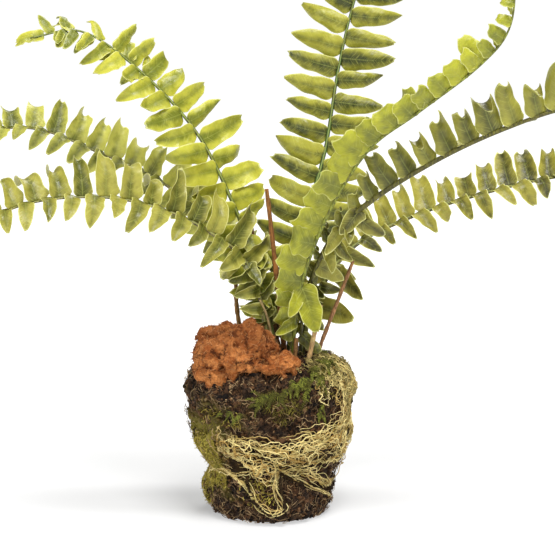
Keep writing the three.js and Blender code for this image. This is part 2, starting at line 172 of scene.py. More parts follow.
def layDown(name, stamp, points, marks=None):  # points: copies x stamp points x 3, in mm
    copies, size = points.shape[:2]
    corners = (stamp.corners[None] + size * np.arange(copies)[:, None]).ravel()
    sizes = np.tile(stamp.sizes, copies)
    mesh = bpy.data.meshes.new(name)
    mesh.vertices.add(copies * size)
    mesh.loops.add(len(corners))
    mesh.polygons.add(len(sizes))
    mesh.vertices.foreach_set("co", (points * mm).astype(np.float32).ravel())
    mesh.loops.foreach_set("vertex_index", corners.astype(np.int32))
    mesh.polygons.foreach_set("loop_start", np.concatenate([[0], np.cumsum(sizes)[:-1]]).astype(np.int32))
    mesh.update(calc_edges=True)
    for mark, values in (marks or {}).items():
        layer = mesh.attributes.new(mark, "FLOAT_VECTOR", "POINT")
        layer.data.foreach_set("vector", np.asarray(values, np.float32).ravel())
    return mesh


def alongPaths(tube, paths, radii):  # a tube's points round each path: paths x rings x 3, radii: paths x rings
    along = unit(np.gradient(paths, axis=1))
    side = np.cross(along[:, 0], [0.31, 0.52, 0.79])
    normals = np.empty_like(paths)
    for k in range(paths.shape[1]):
        side = unit(side - np.sum(side * along[:, k], axis=-1, keepdims=True) * along[:, k])
        normals[:, k] = side
    across = np.cross(along, normals)
    ring = tube.ring
    x, y = (tube.points[:, axis][None, :, None] for axis in (0, 1))
    return paths[:, ring] + radii[:, ring, None] * (normals[:, ring] * x + across[:, ring] * y)


def addObject(name, data):
    made = bpy.data.objects.new(name, data)
    bpy.context.scene.collection.objects.link(made)
    return made


def addPiece(mesh, material, replaced=()):
    piece = addObject(mesh.name, mesh)
    mesh.materials.append(material)
    mesh.polygons.foreach_set("use_smooth", np.ones(len(mesh.polygons), bool))
    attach(piece, "root")
    if replaced:
        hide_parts(*replaced)
    return piece


def offFloor(points, least):  # lifts points that lie lower than this
    points[..., 2] = np.maximum(points[..., 2], least)
    return points


def layStrands(name, tube, paths, radii, rng, material):  # a tube along each path, each with its own tone
    count = len(paths)
    tone = np.repeat(rng.random((count, 1)), len(tube.points), axis=1)
    along = np.repeat((tube.ring / (tube.rings - 1))[None], count, axis=0)
    marks = {"tone": np.stack([tone, along, tone * 0], axis=-1)}
    return addPiece(layDown(name, tube, alongPaths(tube, paths, radii), marks), material)


def surfaceOf(mesh):  # corner points and normal of each triangle, in mm
    mesh.calc_loop_triangles()
    co = np.empty(len(mesh.vertices) * 3)
    mesh.vertices.foreach_get("co", co)
    index = np.empty(len(mesh.loop_triangles) * 3, np.int32)
    mesh.loop_triangles.foreach_get("vertices", index)
    corners = (co.reshape(-1, 3) / mm)[index.reshape(-1, 3)]
    return corners, np.cross(corners[:, 1] - corners[:, 0], corners[:, 2] - corners[:, 0])


def scatter(mesh, count, rng):  # points spread evenly over a mesh, and the way out at each
    corners, cross = surfaceOf(mesh)
    area = np.linalg.norm(cross, axis=1)
    pick = rng.choice(len(area), count, p=area / area.sum())
    a, b = rng.random((2, count, 1))
    over = a + b > 1
    a, b = np.where(over, 1 - a, a), np.where(over, 1 - b, b)
    p = corners[pick]
    return p[:, 0] + a * (p[:, 1] - p[:, 0]) + b * (p[:, 2] - p[:, 0]), unit(cross[pick])


# the soil ball's skin, from the part's own sizes, in mm
ball = {
    "core": (0, 0, 52),
    # radius and height, from the foot up
    "profile": [(0, 0), (29, 0), (35, 2.5), (38.8, 9), (39.4, 19), (40.4, 31), (43.4, 40), (47.4, 49),
                (48.9, 60), (48.4, 70), (48.9, 79), (46, 88), (38, 94.5), (24, 98), (0, 98.8)],
    # bulges and dents: azimuth, height, width in degrees, height span, depth
    "forms": [(-92, 30, 34, 8, -5), (-88, 82, 38, 9, 5.5), (-85, 15, 26, 6, 1.5),
              (92, 20, 40, 12, -1.5), (165, 60, 30, 16, -3), (15, 36, 22, 7, -2)],
}
ballCore = np.array(ball["core"], float)
ballSide = np.array(ball["profile"], float)
ballClimbs = np.concatenate([[0], np.cumsum(np.linalg.norm(np.diff(ballSide, axis=0), axis=1))])


def ballRelief(azimuth, height):
    turn = np.radians(azimuth)
    fade = ease(height, 1, 12) * (1 - ease(height, 90, 98))
    rise = (np.sin(3 * turn + height / 9) + 1.1 * np.sin(5 * turn - height / 6 + 1)
            + 0.8 * np.sin(9 * turn + height / 4))
    for formAzimuth, formHeight, wide, tall, depth in ball["forms"]:
        aside = (azimuth - formAzimuth + 540) % 360 - 180
        rise = rise + depth * np.exp(-((aside / wide) ** 2) - ((height - formHeight) / tall) ** 2)
    return rise * fade


def sideAt(climb):  # the ball's plain radius and height
    return [np.interp(climb, ballClimbs, ballSide[:, column]) for column in (0, 1)]


def aroundAxis(azimuth, far, height):
    turn = np.radians(azimuth)
    return np.stack([far * np.sin(turn), -far * np.cos(turn), height], axis=-1)


def azimuthAndFar(points):
    return np.degrees(np.arctan2(points[..., 0], -points[..., 1])), np.hypot(points[..., 0], points[..., 1])


def outwards(points):  # the way out from the ball's core
    return unit(points - ballCore)


def onBall(azimuth, climb, lift=0.0):
    azimuth, climb, lift = np.broadcast_arrays(np.asarray(azimuth, float), climb, lift)
    radius, height = sideAt(climb)
    point = aroundAxis(azimuth, np.where(radius > 0, radius + ballRelief(azimuth, height), 0), height)
    return point + outwards(point) * lift[..., None]


def outOfBall(points, lift):  # pushes points that lie inside the ball's side out of it
    azimuth, far = azimuthAndFar(points)
    height = np.clip(points[..., 2], 0, 96)
    least = np.interp(height, ballSide[1:, 1], ballSide[1:, 0]) + ballRelief(azimuth, height) + lift
    moved = points.copy()
    moved[..., :2] *= np.maximum(least / np.maximum(far, 1e-6), 1)[..., None]
    return moved


def shade(red, green, blue):  # a colour as a screen shows it, 0 to 255, as the shader wants it
    values = [v / 255 for v in (red, green, blue)]
    return tuple(v / 12.92 if v <= 0.04045 else ((v + 0.055) / 1.055) ** 2.4 for v in values) + (1,)


class Wire:  # a socket that reads as a number in a sum
    def __init__(self, finish, socket):
        self.finish = finish
        self.socket = socket

    def sum(self, kind, *others):
        return self.finish.node("ShaderNodeMath", {"operation": kind}, dict(enumerate((self, *others))))

    def __add__(self, other):
        return self.sum("ADD", other)

    def __sub__(self, other):
        return self.sum("SUBTRACT", other)

    def __mul__(self, other):
        return self.sum("MULTIPLY", other)

    def __abs__(self):
        return self.sum("ABSOLUTE")

    def ramp(self, low, high, first=0.0, last=1.0):  # eases from one value to another as this goes from low to high
        return self.finish.node("ShaderNodeMapRange", {"interpolation_type": "SMOOTHSTEP"},
                                {0: self, 1: low, 2: high, 3: first, 4: last})


class Finish:  # a material, and one way to add any node that isn't a sum
    def __init__(self, name):
        self.material = bpy.data.materials.new(name)
        self.material.use_nodes = True
        self.tree = self.material.node_tree
        self.surface = self.tree.nodes["Principled BSDF"]

    def node(self, kind, settings=None, sockets=None, out=0):
        made = self.tree.nodes.new(kind)
        for key, value in (settings or {}).items():
            setattr(made, key, value)
        for key, value in (sockets or {}).items():
            self.feed(made.inputs[key], value)
        return Wire(self, made.outputs[out])

    def feed(self, socket, value):
        if isinstance(value, Wire):
            self.tree.links.new(value.socket, socket)
        else:
            socket.default_value = value

    def set(self, **sockets):
        names = {"colour": "Base Color", "roughness": "Roughness", "normal": "Normal",
                 "specular": "Specular IOR Level", "subsurface": "Subsurface Weight",
                 "subsurfaceScale": "Subsurface Scale", "subsurfaceRadius": "Subsurface Radius",
                 "glow": "Emission Color", "glowStrength": "Emission Strength"}
        for name, value in sockets.items():
            self.feed(self.surface.inputs[names[name]], value)
        return self.material

    def place(self, scale=(1, 1, 1)):  # the object's own coordinates, in mm, stretched
        at = self.node("ShaderNodeTexCoord", out="Object")
        return self.node("ShaderNodeVectorMath", {"operation": "MULTIPLY"},
                         {0: at, 1: tuple(s / mm for s in scale)})

    def mark(self, name):
        return self.node("ShaderNodeAttribute", {"attribute_name": name}, out="Vector")

    def axis(self, vector, letter):
        return self.node("ShaderNodeSeparateXYZ", {}, {0: vector}, out=letter)

    def vector(self, x, y, z):
        return self.node("ShaderNodeCombineXYZ", {}, {0: x, 1: y, 2: z})

    def noise(self, at, size, detail=3.0, roughness=0.55, distortion=0.0):
        return self.node("ShaderNodeTexNoise", {}, {"Vector": at, "Scale": 1 / size, "Detail": detail,
                                                    "Roughness": roughness, "Distortion": distortion})

    def cells(self, at, size):
        return self.node("ShaderNodeTexVoronoi", {"feature": "F1"}, {"Vector": at, "Scale": 1 / size}, out="Distance")

    def mix(self, share, first, second):
        return self.node("ShaderNodeMix", {"data_type": "RGBA", "clamp_factor": True},
                         {0: share, 6: first, 7: second}, out=2)

    def bump(self, height, deep, before=None):  # deep is how far white stands above black, in mm
        sockets = {"Height": height, "Distance": deep * mm, "Strength": 1.0}
        if before:
            sockets["Normal"] = before
        return self.node("ShaderNodeBump", {}, sockets)


soil = {
    "round": 320,  # points round the ball
    "rise": 160,  # points up its side
    "clods": [(9.0, 3.8), (4.2, 2.4), (2.1, 0.8)],  # size of the lumps and how far they stand out, mm
    "level": 0.72,  # how high in a lump the ball's own skin lies
    "swells": (12, 0.9),  # broad swells under the lumps
    "foot": (0.4, 5),  # the lumps grow between these heights, so that the foot stays flat
    # loose bits: how many, smallest and largest in mm, how far out they lie as a share of their size, and seed
    "bits": {
        "soil_clumps": (1150, 3.0, 6.0, 0.0, 23),
        "soil_crumbs": (5200, 1.2, 3.4, 0.2, 21),
        "soil_grit": (6500, 0.6, 1.4, 0.3, 22),
    },
    "hairs": 240,  # dead roots that stand out
    "fibres": 1900,  # dead roots that lie on the soil
    "hairClimbs": (34, 128),
    "hairThick": (0.1, 0.24),
    "hairTaper": [0.6, 1, 1, 0.9, 0.8, 0.6, 0.3],
    "hairSeed": 30,
}


def mossTinted(f, at, colour, green, yellow, greenShare, yellowShare):  # a film of moss on the ball's left side
    patches = f.noise(at, 13, 2).ramp(0.5, 0.62) * f.axis(at, "X").ramp(4, -34) * f.axis(at, "Z").ramp(84, 70)
    colour = f.mix(patches * greenShare, colour, green)
    film = (f.axis(at, "X").ramp(-22, -37) * f.axis(at, "Z").ramp(68, 56) * f.axis(at, "Z").ramp(12, 30)
            * f.noise(at, 9, 3).ramp(0.36, 0.5))
    return f.mix(film * yellowShare, colour, yellow)


def soilFinish():
    f = Finish("crumbly_soil")
    at = f.place()
    lumps = f.cells(at, 2.1)
    fine = f.noise(at, 0.9, 4)
    broad = f.noise(at, 9, 3)
    # painted shade: near black where the small lumps meet, in the gaps between them
    colour = f.mix(lumps.ramp(0.15, 0.7), shade(84, 55, 32), shade(14, 8, 4))
    colour = f.mix(fine.ramp(0.42, 0.7, 0, 0.7), colour, shade(118, 84, 52))
    colour = f.mix(broad.ramp(0.42, 0.6, 0, 0.7), colour, shade(30, 19, 11))
    colour = mossTinted(f, at, colour, shade(98, 88, 34), shade(138, 128, 52), 0.5, 0.85)
    return f.set(colour=colour, roughness=fine.ramp(0.4, 0.62, 0.9, 0.6), specular=0.25,
                 normal=f.bump(fine, 0.5, f.bump(lumps, 0.8)))


def crumbFinish(name, dark, mid, pale, mossy=0.0):
    f = Finish(name)
    at = f.place()
    tone = f.axis(f.mark("tone"), "X")
    colour = f.mix(tone.ramp(0.1, 0.6), dark, mid)
    colour = f.mix(tone.ramp(0.8, 1.08), colour, pale)
    fine = f.noise(at, 0.5, 3)
    colour = f.mix(fine.ramp(0.35, 0.7, 0, 0.45), colour, dark)
    colour = f.mix(f.noise(at, 8, 3).ramp(0.46, 0.6, 0, 0.8), colour, dark)
    colour = mossTinted(f, at, colour, shade(104, 94, 36), shade(148, 138, 56), mossy, mossy)
    return f.set(colour=colour, roughness=tone.ramp(0.2, 0.9, 0.9, 0.6), specular=0.25, normal=f.bump(fine, 0.25))


def buildSoil():
    bm = bmesh.new()
    radii, heights = sideAt(np.linspace(0.0, ballClimbs[-1], soil["rise"]))
    verts = [bm.verts.new((0, -radius, height)) for radius, height in zip(radii, heights)]
    edges = [bm.edges.new(pair) for pair in zip(verts, verts[1:])]
    bmesh.ops.spin(bm, geom=verts + edges, axis=(0, 0, 1), cent=(0, 0, 0), steps=soil["round"],
                   angle=2 * math.pi, use_merge=True)
    bmesh.ops.remove_doubles(bm, verts=bm.verts, dist=0.001)
    bmesh.ops.recalc_face_normals(bm, faces=bm.faces)
    spun = Stamp(bm)
    height = spun.points[:, 2]
    azimuth, far = azimuthAndFar(spun.points)
    shaped = aroundAxis(azimuth, np.where(far > 0.01, far + ballRelief(azimuth, height), 0), height)
    lumps = sum(deep * (crumble(shaped, size, size) - soil["level"]) for size, deep in soil["clods"])
    broad, high = soil["swells"]
    rise = (lumps + high * grain(shaped, broad, 3)) * ease(height, *soil["foot"])
    shaped = offFloor(shaped + outwards(shaped) * rise[:, None], 0)
    return addPiece(layDown("soil_body", spun, shaped[None]), soilFinish(), ["soil_ball"])


def bareSoil(points):  # which points lie on the ball's side, clear of the coir
    covered = np.zeros(len(points), bool)
    for at, half in coir["lobes"]:
        covered |= np.linalg.norm((points - at) / (np.array(half) - 1), axis=1) < 1
    return ~covered & (points[:, 2] > 1)


def layBits(name, on, count, low, high, out, seed, material, slot, keep=None):  # loose crumbs all over a mesh
    rng = np.random.default_rng(seed)
    at, away = scatter(on, count, rng)
    if keep:
        chosen = keep(at)
        at, away = at[chosen], away[chosen]
    size = low + (high - low) * rng.random(len(at)) ** 2
    shape = rng.uniform(0.4, 1.2, (len(at), 1, 3)) * pebble.points[None]
    shape *= rng.uniform(0.7, 1.25, (len(at), len(pebble.points), 1))
    turned = np.einsum("nij,npj->npi", randomTurns(len(at), rng), shape)
    points = offFloor((at + away * (size * out)[:, None])[:, None] + turned * (size / 2)[:, None, None], 0.05)
    tone = np.repeat(rng.random((len(at), 1)), len(pebble.points), axis=1)
    marks = {"tone": np.stack([tone, tone, tone], axis=-1)}
    addPiece(layDown(name, pebble, points, marks), material)


coir = {
    "lobes": [((-27, -25, 102), (20, 18, 21)), ((-11, -25, 103), (15, 15, 21)), ((5, -33, 97), (13, 10, 9))],
    "voxel": 0.62,
    "clods": [(13.0, 6.5), (6.0, 3.0), (2.6, 0.6)],
    "fibres": 1300,
    "fibreThick": (0.08, 0.19),
    "fibreTaper": [0.5, 0.9, 1, 1, 1, 0.9, 0.4],
    "fibreSeed": 36,
    "chips": (420, 0.6, 2.4, 0.0, 31),  # as the soil's loose bits
    "swell": 1.8,  # how far the whole lump grows, mm
    "level": 0.7,
    "holes": (5.2, 0.26, 12),  # their size, how rare they are, and their depth
    "uneven": [(7, 0.8, 9), (1.6, 0.35, 5)],  # size, height and shift of the softer bumps
}


def evenSkin(node, name, voxel, rounds):  # a node's form with a skin of small even faces, softened
    bm = bmesh.new()
    bm.from_mesh(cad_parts[node].data)
    bmesh.ops.remove_doubles(bm, verts=bm.verts, dist=0.00001)
    bmesh.ops.recalc_face_normals(bm, faces=bm.faces)
    plain = bpy.data.meshes.new(name + "_plain")
    bm.to_mesh(plain)
    bm.free()
    holder = addObject(name, plain)
    skin = holder.modifiers.new("skin", "REMESH")
    skin.mode = "VOXEL"
    skin.voxel_size = voxel * mm
    soften = holder.modifiers.new("soften", "SMOOTH")
    soften.iterations = rounds
    soften.factor = 0.5
    depsgraph = bpy.context.evaluated_depsgraph_get()
    mesh = bpy.data.meshes.new_from_object(holder.evaluated_get(depsgraph))
    bpy.data.objects.remove(holder)
    bpy.data.meshes.remove(plain)
    mesh.name = name
    return mesh


def pushOut(mesh, rise, outer=False):  # moves each vertex, or each on the outer side, along its normal by rise in mm
    count = len(mesh.vertices)
    co, normal = np.empty(count * 3), np.empty(count * 3)
    mesh.vertices.foreach_get("co", co)
    mesh.vertex_normals.foreach_get("vector", normal)
    points = co.reshape(-1, 3) / mm
    normal = normal.reshape(-1, 3)
    facing = np.clip(np.sum(normal * outwards(points), axis=1) * 1.6, 0, 1) if outer else 1
    moved = offFloor(points + normal * (rise(points) * facing)[:, None], 0)
    mesh.vertices.foreach_set("co", (moved * mm).ravel())
    mesh.update()


def coirFinish():
    f = Finish("coir_dust")
    at = f.place()
    fine = f.noise(at, 1.2, 5, 0.6)
    threads = f.noise(f.place((0.5, 0.5, 1.6)), 1.4, 4, 0.6, 1.6)
    pits = f.noise(at, 5.2, 4, 0.6)
    broad = f.noise(at, 9, 2)
    colour = f.mix(broad.ramp(0.4, 0.6), shade(212, 138, 76), shade(156, 88, 42))
    colour = f.mix(fine.ramp(0.36, 0.66, 0, 0.55), colour, shade(120, 62, 26))
    colour = f.mix(threads.ramp(0.5, 0.66, 0, 0.5), colour, shade(214, 150, 92))
    # painted shade: near black in the pits
    colour = f.mix(pits.ramp(0.47, 0.35, 0, 0.9), colour, shade(44, 18, 6))
    # painted shade: darker towards the top, where the fronds shade the lump
    colour = f.mix(f.axis(at, "Z").ramp(100, 120, 0, 0.6), colour, shade(104, 54, 24))
    return f.set(colour=colour, roughness=0.93, specular=0.15, normal=f.bump(fine, 0.6, f.bump(threads, 0.5)))


def buildCoir():
    mesh = evenSkin("coir_lump", "coir_body", coir["voxel"], 2)

    def rise(p):
        lumps = sum(deep * (crumble(p, size, size + 2) - coir["level"]) for size, deep in coir["clods"])
        size, rare, deep = coir["holes"]
        risen = coir["swell"] + lumps + np.clip(grain(p, size, 17) - rare, 0, 1) * -deep
        for size, high, shift in coir["uneven"]:
            risen = risen + high * grain(p, size, shift)
        return risen

    pushOut(mesh, rise)
    addPiece(mesh, coirFinish(), ["coir_lump"])
    rng = np.random.default_rng(coir["fibreSeed"])
    at, out = scatter(mesh, coir["fibres"], rng)
    count = len(at)
    way = unit(rng.normal(size=at.shape) + out * 0.25)
    steps = np.linspace(-1, 1, hairTube.rings)[None, :, None] * rng.uniform(0.8, 3.4, (count, 1, 1))
    bow = rng.normal(size=at.shape)[:, None] * (steps**2) * 0.1
    paths = at[:, None] + out[:, None] * rng.uniform(0.0, 0.5, (count, 1, 1)) + way[:, None] * steps + bow
    radii = rng.uniform(*coir["fibreThick"], (count, 1)) * np.array(coir["fibreTaper"])[None]
    layStrands("coir_fibres", hairTube, paths, radii, rng,
               threadFinish("coir_thread", shade(92, 46, 20), shade(216, 152, 96)))
    rustCrumb = crumbFinish("coir_crumb", shade(128, 70, 32), shade(178, 112, 62), shade(214, 152, 98))
    layBits("coir_chips", mesh, *coir["chips"], rustCrumb, "coir")


moss = {
    "voxel": 0.9,
    "seed": 41,
    "clods": [(5.2, 2.4), (2.4, 1.1)],  # size and height of a bed's lumps, the larger ones first
    "level": 0.75,  # how high in a smaller lump the bed's skin lies
    "swells": (4, 0.8),
    "rootDepth": 0.6,  # how far under the skin a strand starts, mm
    "sag": 0.16,  # how much a strand bends down at each step, for each part that it hangs
    "leftTop": 62,  # bare soil shows over this height on the left cushion
    "strandTaper": [1, 1.1, 1, 0.9, 0.7, 0.3],
    "stemThick": (0.24, 0.12),  # at its foot and its tip
    "sprigThick": [0.16, 0.27, 0.24, 0.1],
    "threadThick": (0.13, 0.3),
    # node: strands, length in mm, how far they hang, how far they stand out, thickness, and how deep the bed lies
    "pads": {
        "moss_shoulder": (2600, (1.5, 4.2), 0.5, 0.5, 0.19, 3.25),
        "moss_front": (560, (2, 4.5), 0.9, 0.1, 0.18, 1.5),
        "moss_left": (4200, (1, 2.8), 0.4, 0.5, 0.16, 1.4),
        "moss_back": (2400, (1.5, 5), 0.6, 0.4, 0.22, 1.5),
    },
    # shoots with side branches: azimuth and climb where their line starts and ends, how many, length, way they run
    "shoots": [
        {"from": (-6, 118), "to": (42, 131), "count": 17, "long": (9, 16), "way": (-0.35, -1.0)},
        {"from": (-6, 116), "to": (4, 119), "count": 5, "long": (10, 15), "way": (-1.0, -0.25)},
        {"from": (20, 128), "to": (70, 138), "count": 17, "long": (7, 13), "way": (-0.6, -0.7)},
        {"from": (56, 140), "to": (112, 146), "count": 18, "long": (6, 12), "way": (0.1, -1.0)},
        {"from": (150, 126), "to": (236, 122), "count": 110, "long": (9, 18), "way": (0.0, -1.0)},
        {"from": (34, 104), "to": (46, 108), "count": 5, "long": (5, 9), "way": (-0.2, -1.0)},
        {"from": (-34, 106), "to": (-14, 109), "count": 4, "long": (7, 11), "way": (-0.9, -0.4)},
    ],
    # a film of short moss on the soil: azimuths, climbs, how many
    "film": [((-122, -40), (56, 84), 2400), ((-120, -62), (40, 60), 800), ((-26, 4), (48, 64), 160),
             ((-60, -20), (98, 108), 120)],
    # curly threads of dry moss over the shoulder: start azimuth and climb, way, length, how many
    "threads": [
        ((66, 118), (112, 150), -1.3, 17, 180),
        ((42, 70), (122, 148), -1.2, 14, 50),
        ((24, 56), (120, 142), -1.0, 14, 40),
        ((64, 116), (98, 126), -1.5, 18, 90),
        ((150, 230), (100, 130), -1.5, 18, 160),
    ],
}


def threadFinish(name, deep, bright, roughness=0.8):
    f = Finish(name)
    tone = f.axis(f.mark("tone"), "X")
    along = f.axis(f.mark("tone"), "Y")
    fine = f.noise(f.place(), 1.6, 3)
    colour = f.mix((tone * 0.8 + along * 0.25).ramp(0.05, 0.95), deep, bright)
    colour = f.mix(fine.ramp(0.45, 0.7, 0, 0.45), colour, deep)
    return f.set(colour=colour, roughness=roughness, specular=0.25, normal=f.bump(fine, 0.1))


def mossFinish(name, deep, mid, bright):
    f = Finish(name)
    at = f.place()
    tone = f.axis(f.mark("tone"), "X")
    along = f.axis(f.mark("tone"), "Y")
    broad = f.noise(at, 6, 2)
    colour = f.mix((tone * 0.7 + along * 0.45).ramp(0.05, 0.95), deep, bright)
    colour = f.mix(broad.ramp(0.42, 0.6, 0, 0.75), colour, mid)
    return f.set(colour=colour, roughness=0.8, specular=0.25)


def mossPadFinish(name, deep, bright, brown):
    f = Finish(name)
    at = f.place()
    fine = f.noise(at, 1.0, 4)
    broad = f.noise(at, 6, 2)
    colour = f.mix(fine.ramp(0.35, 0.68), deep, bright)
    colour = f.mix(broad.ramp(0.42, 0.6, 0, 0.8), colour, brown)
    colour = f.mix(f.axis(at, "Z").ramp(56, 66, 0, 0.85), colour, shade(46, 32, 18))
    return f.set(colour=colour, roughness=0.95, specular=0.15, normal=f.bump(fine, 0.9))


def growPaths(at, out, tube, length, hang, stand, curly, rng, lift=0.3):  # strands that grow out of a surface
    rings = tube.rings
    step = (length / (rings - 1))[:, None]
    way = unit(out * stand + rng.normal(size=at.shape) * 0.55 + np.array([0, 0, -hang]))
    turn = rng.normal(size=at.shape)
    paths = np.empty((len(at), rings, 3))
    paths[:, 0] = at - out * moss["rootDepth"]
    for k in range(1, rings):
        turn = unit(turn + rng.normal(size=at.shape) * 0.6)
        way = unit(way + turn * curly + np.array([0, 0, -moss["sag"] * hang]))
        paths[:, k] = paths[:, k - 1] + way * step
    paths[:, 1:] = outOfBall(paths[:, 1:], lift)
    return offFloor(paths, 0.4)


def skinWalk(azimuth, climb, heading, step, rings, lift):  # paths that run over the ball's skin
    # azimuth, climb: start of each path. heading: paths x rings, an angle from straight round to straight up
    paths = np.empty((len(azimuth), rings, 3))
    for k in range(rings):
        paths[:, k] = onBall(azimuth, climb, lift[:, k])
        radius = np.maximum(sideAt(climb)[0], 12)
        azimuth = azimuth + np.degrees(np.cos(heading[:, k]) * step / radius)
        climb = climb + np.sin(heading[:, k]) * step
    return paths


def wander(count, rings, rng, size, waves=(1, 2, 3, 5)):  # smooth random turns along each path, in radians
    share = np.linspace(0, 1, rings)[None]
    return sum(rng.normal(0, size / math.sqrt(k), (count, 1)) * np.sin(
        share * fullTurn * k * rng.uniform(0.6, 1.3, (count, 1)) + rng.uniform(0, fullTurn, (count, 1)))
        for k in waves)


def growShoots(rng, start, end, count, long, way):  # stems on the skin, and the side branches of each
    rings = stemTube.rings
    place = rng.random(count)
    azimuth = start[0] + (end[0] - start[0]) * place + rng.normal(0, 2, count)
    climb = start[1] + (end[1] - start[1]) * place + rng.normal(0, 1.6, count)
    heading = math.atan2(way[1], way[0]) + rng.normal(0, 0.45, (count, 1)) + wander(count, rings, rng, 0.3, (1, 2))
    length = rng.uniform(*long, count)
    share = np.linspace(0, 1, rings)[None]
    lift = 1.4 + rng.uniform(0, 1.6, (count, 1)) + share * rng.uniform(-1, 1.4, (count, 1))
    stems = skinWalk(azimuth, climb, heading, length / rings, rings, lift)
    along = unit(np.gradient(stems, axis=1))
    out = outwards(stems)
    across = unit(np.cross(along, out))
    last = sprigTube.rings - 1
    branches = []
    for ring in range(1, rings):
        reach = length[:, None] * 0.24 * (1.15 - ring / rings) * rng.uniform(0.6, 1.2, (count, 1))
        droop = -out[:, ring] * 0.12
        for turn in (-1, 1):
            lean = out[:, ring] * rng.uniform(-0.2, 0.5, (count, 1))
            ahead = unit(across[:, ring] * turn + along[:, ring] * 0.75 + lean)
            steps = [(ahead * k / last + droop * (k / last) ** 2) * reach for k in range(last + 1)]
            branches.append(np.stack([stems[:, ring] + step for step in steps], axis=1))
    return stems, np.concatenate(branches)


def layFilm(rng, material):
    starts = [(rng.uniform(*azimuths, count), rng.uniform(*climbs, count)) for azimuths, climbs, count in moss["film"]]
    azimuth, climb = (np.concatenate(rows) for rows in zip(*starts))
    at = onBall(azimuth, climb, 0.2)
    at = at[grain(at, 9) + rng.uniform(-0.3, 0.3, len(at)) > -0.12]
    paths = growPaths(at, outwards(at), mossTube, rng.uniform(1.6, 3.8, len(at)), 0.7, 0.3, 0.6, rng, 0.9)
    radii = 0.15 * np.array(moss["strandTaper"])[None] * rng.uniform(0.7, 1.4, (len(at), 1))
    layStrands("moss_film", mossTube, paths, radii, rng, material)


def treeOf(meshes):  # all the faces of these meshes, in mm
    points, faces = [], []
    for mesh in meshes:
        faces += [[len(points) + k for k in polygon.vertices] for polygon in mesh.polygons]
        points += [vertex.co / mm for vertex in mesh.vertices]
    return BVHTree.FromPolygons(points, faces)


def drape(tree, paths, lift):  # puts points that lie under the pads' skin on to it
    core = Vector(ballCore)
    far, down = 15, 22  # how far out each look starts, and how far in it goes, mm
    laid = paths.reshape(-1, 3).copy()
    for k, high in enumerate(np.broadcast_to(lift, paths.shape[:-1]).ravel()):
        point = Vector(laid[k]) - core
        out = point.normalized()
        skin = tree.ray_cast(core + point + out * far, -out, down)[0]
        if skin and (skin - core).length + high > point.length:
            laid[k] = skin + out * high
    return laid.reshape(paths.shape)


def buildPad(k, node, values, bed, strands):  # a cushion: a bed, and the strands that grow on it
    count, lengths, hang, stand, thick, deep = values
    rng = np.random.default_rng(moss["seed"] + k)
    pad = evenSkin(node, node + "_bed", moss["voxel"], 1)

    (coarse, coarseHigh), (small, smallHigh), (broad, broadHigh) = *moss["clods"], moss["swells"]

    def rise(p):
        return (coarseHigh * (crumble(p, coarse, k) - deep) + smallHigh * (crumble(p, small, k) - moss["level"])
                + broadHigh * grain(p, broad, k))

    pushOut(pad, rise, True)
    addPiece(pad, bed, [node])
    at, out = scatter(pad, count, rng)
    kept = np.sum(out * outwards(at), axis=1) > 0.1
    if node == "moss_left":
        kept &= at[:, 2] + rng.uniform(-6, 6, len(at)) < moss["leftTop"]
    at, out = at[kept], out[kept]
    paths = growPaths(at, out, mossTube, rng.uniform(*lengths, len(at)), hang, stand, 0.5, rng)
    radii = thick * np.array(moss["strandTaper"])[None] * rng.uniform(0.7, 1.3, (len(at), 1))
    layStrands(node + "_strands", mossTube, paths, radii, rng, strands)
    return pad


def layCurls(rng, tree):  # the dry threads that lie over the moss
    rings = threadTube.rings
    curls = []
    for azimuths, climbs, way, long, count in moss["threads"]:
        heading = way + rng.normal(0, 0.8, (count, 1)) + wander(count, rings, rng, 1.0)
        lift = 0.5 + rng.uniform(0, 2.0, (count, 1)) + wander(count, rings, rng, 0.5)
        ends = np.linspace(-1, 1, rings)[None] ** 4 * rng.uniform(-0.6, 1.6, (count, 1))  # they lift or dip
        lift = np.maximum(lift, 0.4) + ends
        walk = skinWalk(rng.uniform(*azimuths, count), rng.uniform(*climbs, count), heading,
                        rng.uniform(0.6, 1.2, count) * long / rings, rings, np.maximum(lift, 0.3))
        curls.append(drape(tree, walk, np.maximum(lift, 0.2)))
    curls = np.concatenate(curls)
    taper = 1 - 0.7 * np.abs(np.linspace(-1, 1, rings))[None] ** 5
    radii = rng.uniform(*moss["threadThick"], (len(curls), 1)) * taper
    layStrands("moss_threads", threadTube, curls, radii, rng,
               threadFinish("dry_moss", shade(64, 54, 20), shade(228, 208, 130)))


def buildMoss():
    bed = mossPadFinish("moss_bed", shade(24, 20, 8), shade(98, 90, 34), shade(44, 30, 17))
    yellowBed = mossPadFinish("yellow_moss_bed", shade(84, 78, 26), shade(168, 156, 66), shade(92, 80, 32))
    strands = mossFinish("moss_strands", shade(30, 27, 9), shade(70, 56, 22), shade(148, 136, 54))
    yellow = mossFinish("yellow_moss", shade(104, 92, 30), shade(160, 142, 56), shade(228, 210, 98))
    plumes = mossFinish("moss_plumes", shade(26, 31, 10), shade(78, 74, 26), shade(142, 146, 56))
    finishes = {"moss_left": (yellowBed, yellow)}
    tree = treeOf([buildPad(k, node, values, *finishes.get(node, (bed, strands)))
                   for k, (node, values) in enumerate(moss["pads"].items())])
    layFilm(np.random.default_rng(moss["seed"] + 10), yellow)
    rng = np.random.default_rng(moss["seed"] + 20)
    grown = [growShoots(rng, *shoot.values()) for shoot in moss["shoots"]]
    stems, branches = (drape(tree, np.concatenate(rows), 0.5) for rows in zip(*grown))
    radii = np.linspace(*moss["stemThick"], stemTube.rings)[None] * rng.uniform(0.8, 1.2, (len(stems), 1))
    layStrands("moss_stems", stemTube, stems, radii, rng, plumes)
    radii = np.array(moss["sprigThick"])[None] * rng.uniform(0.8, 1.25, (len(branches), 1))
    layStrands("moss_plumes", sprigTube, branches, radii, rng, plumes)
    layCurls(rng, tree)
    return tree


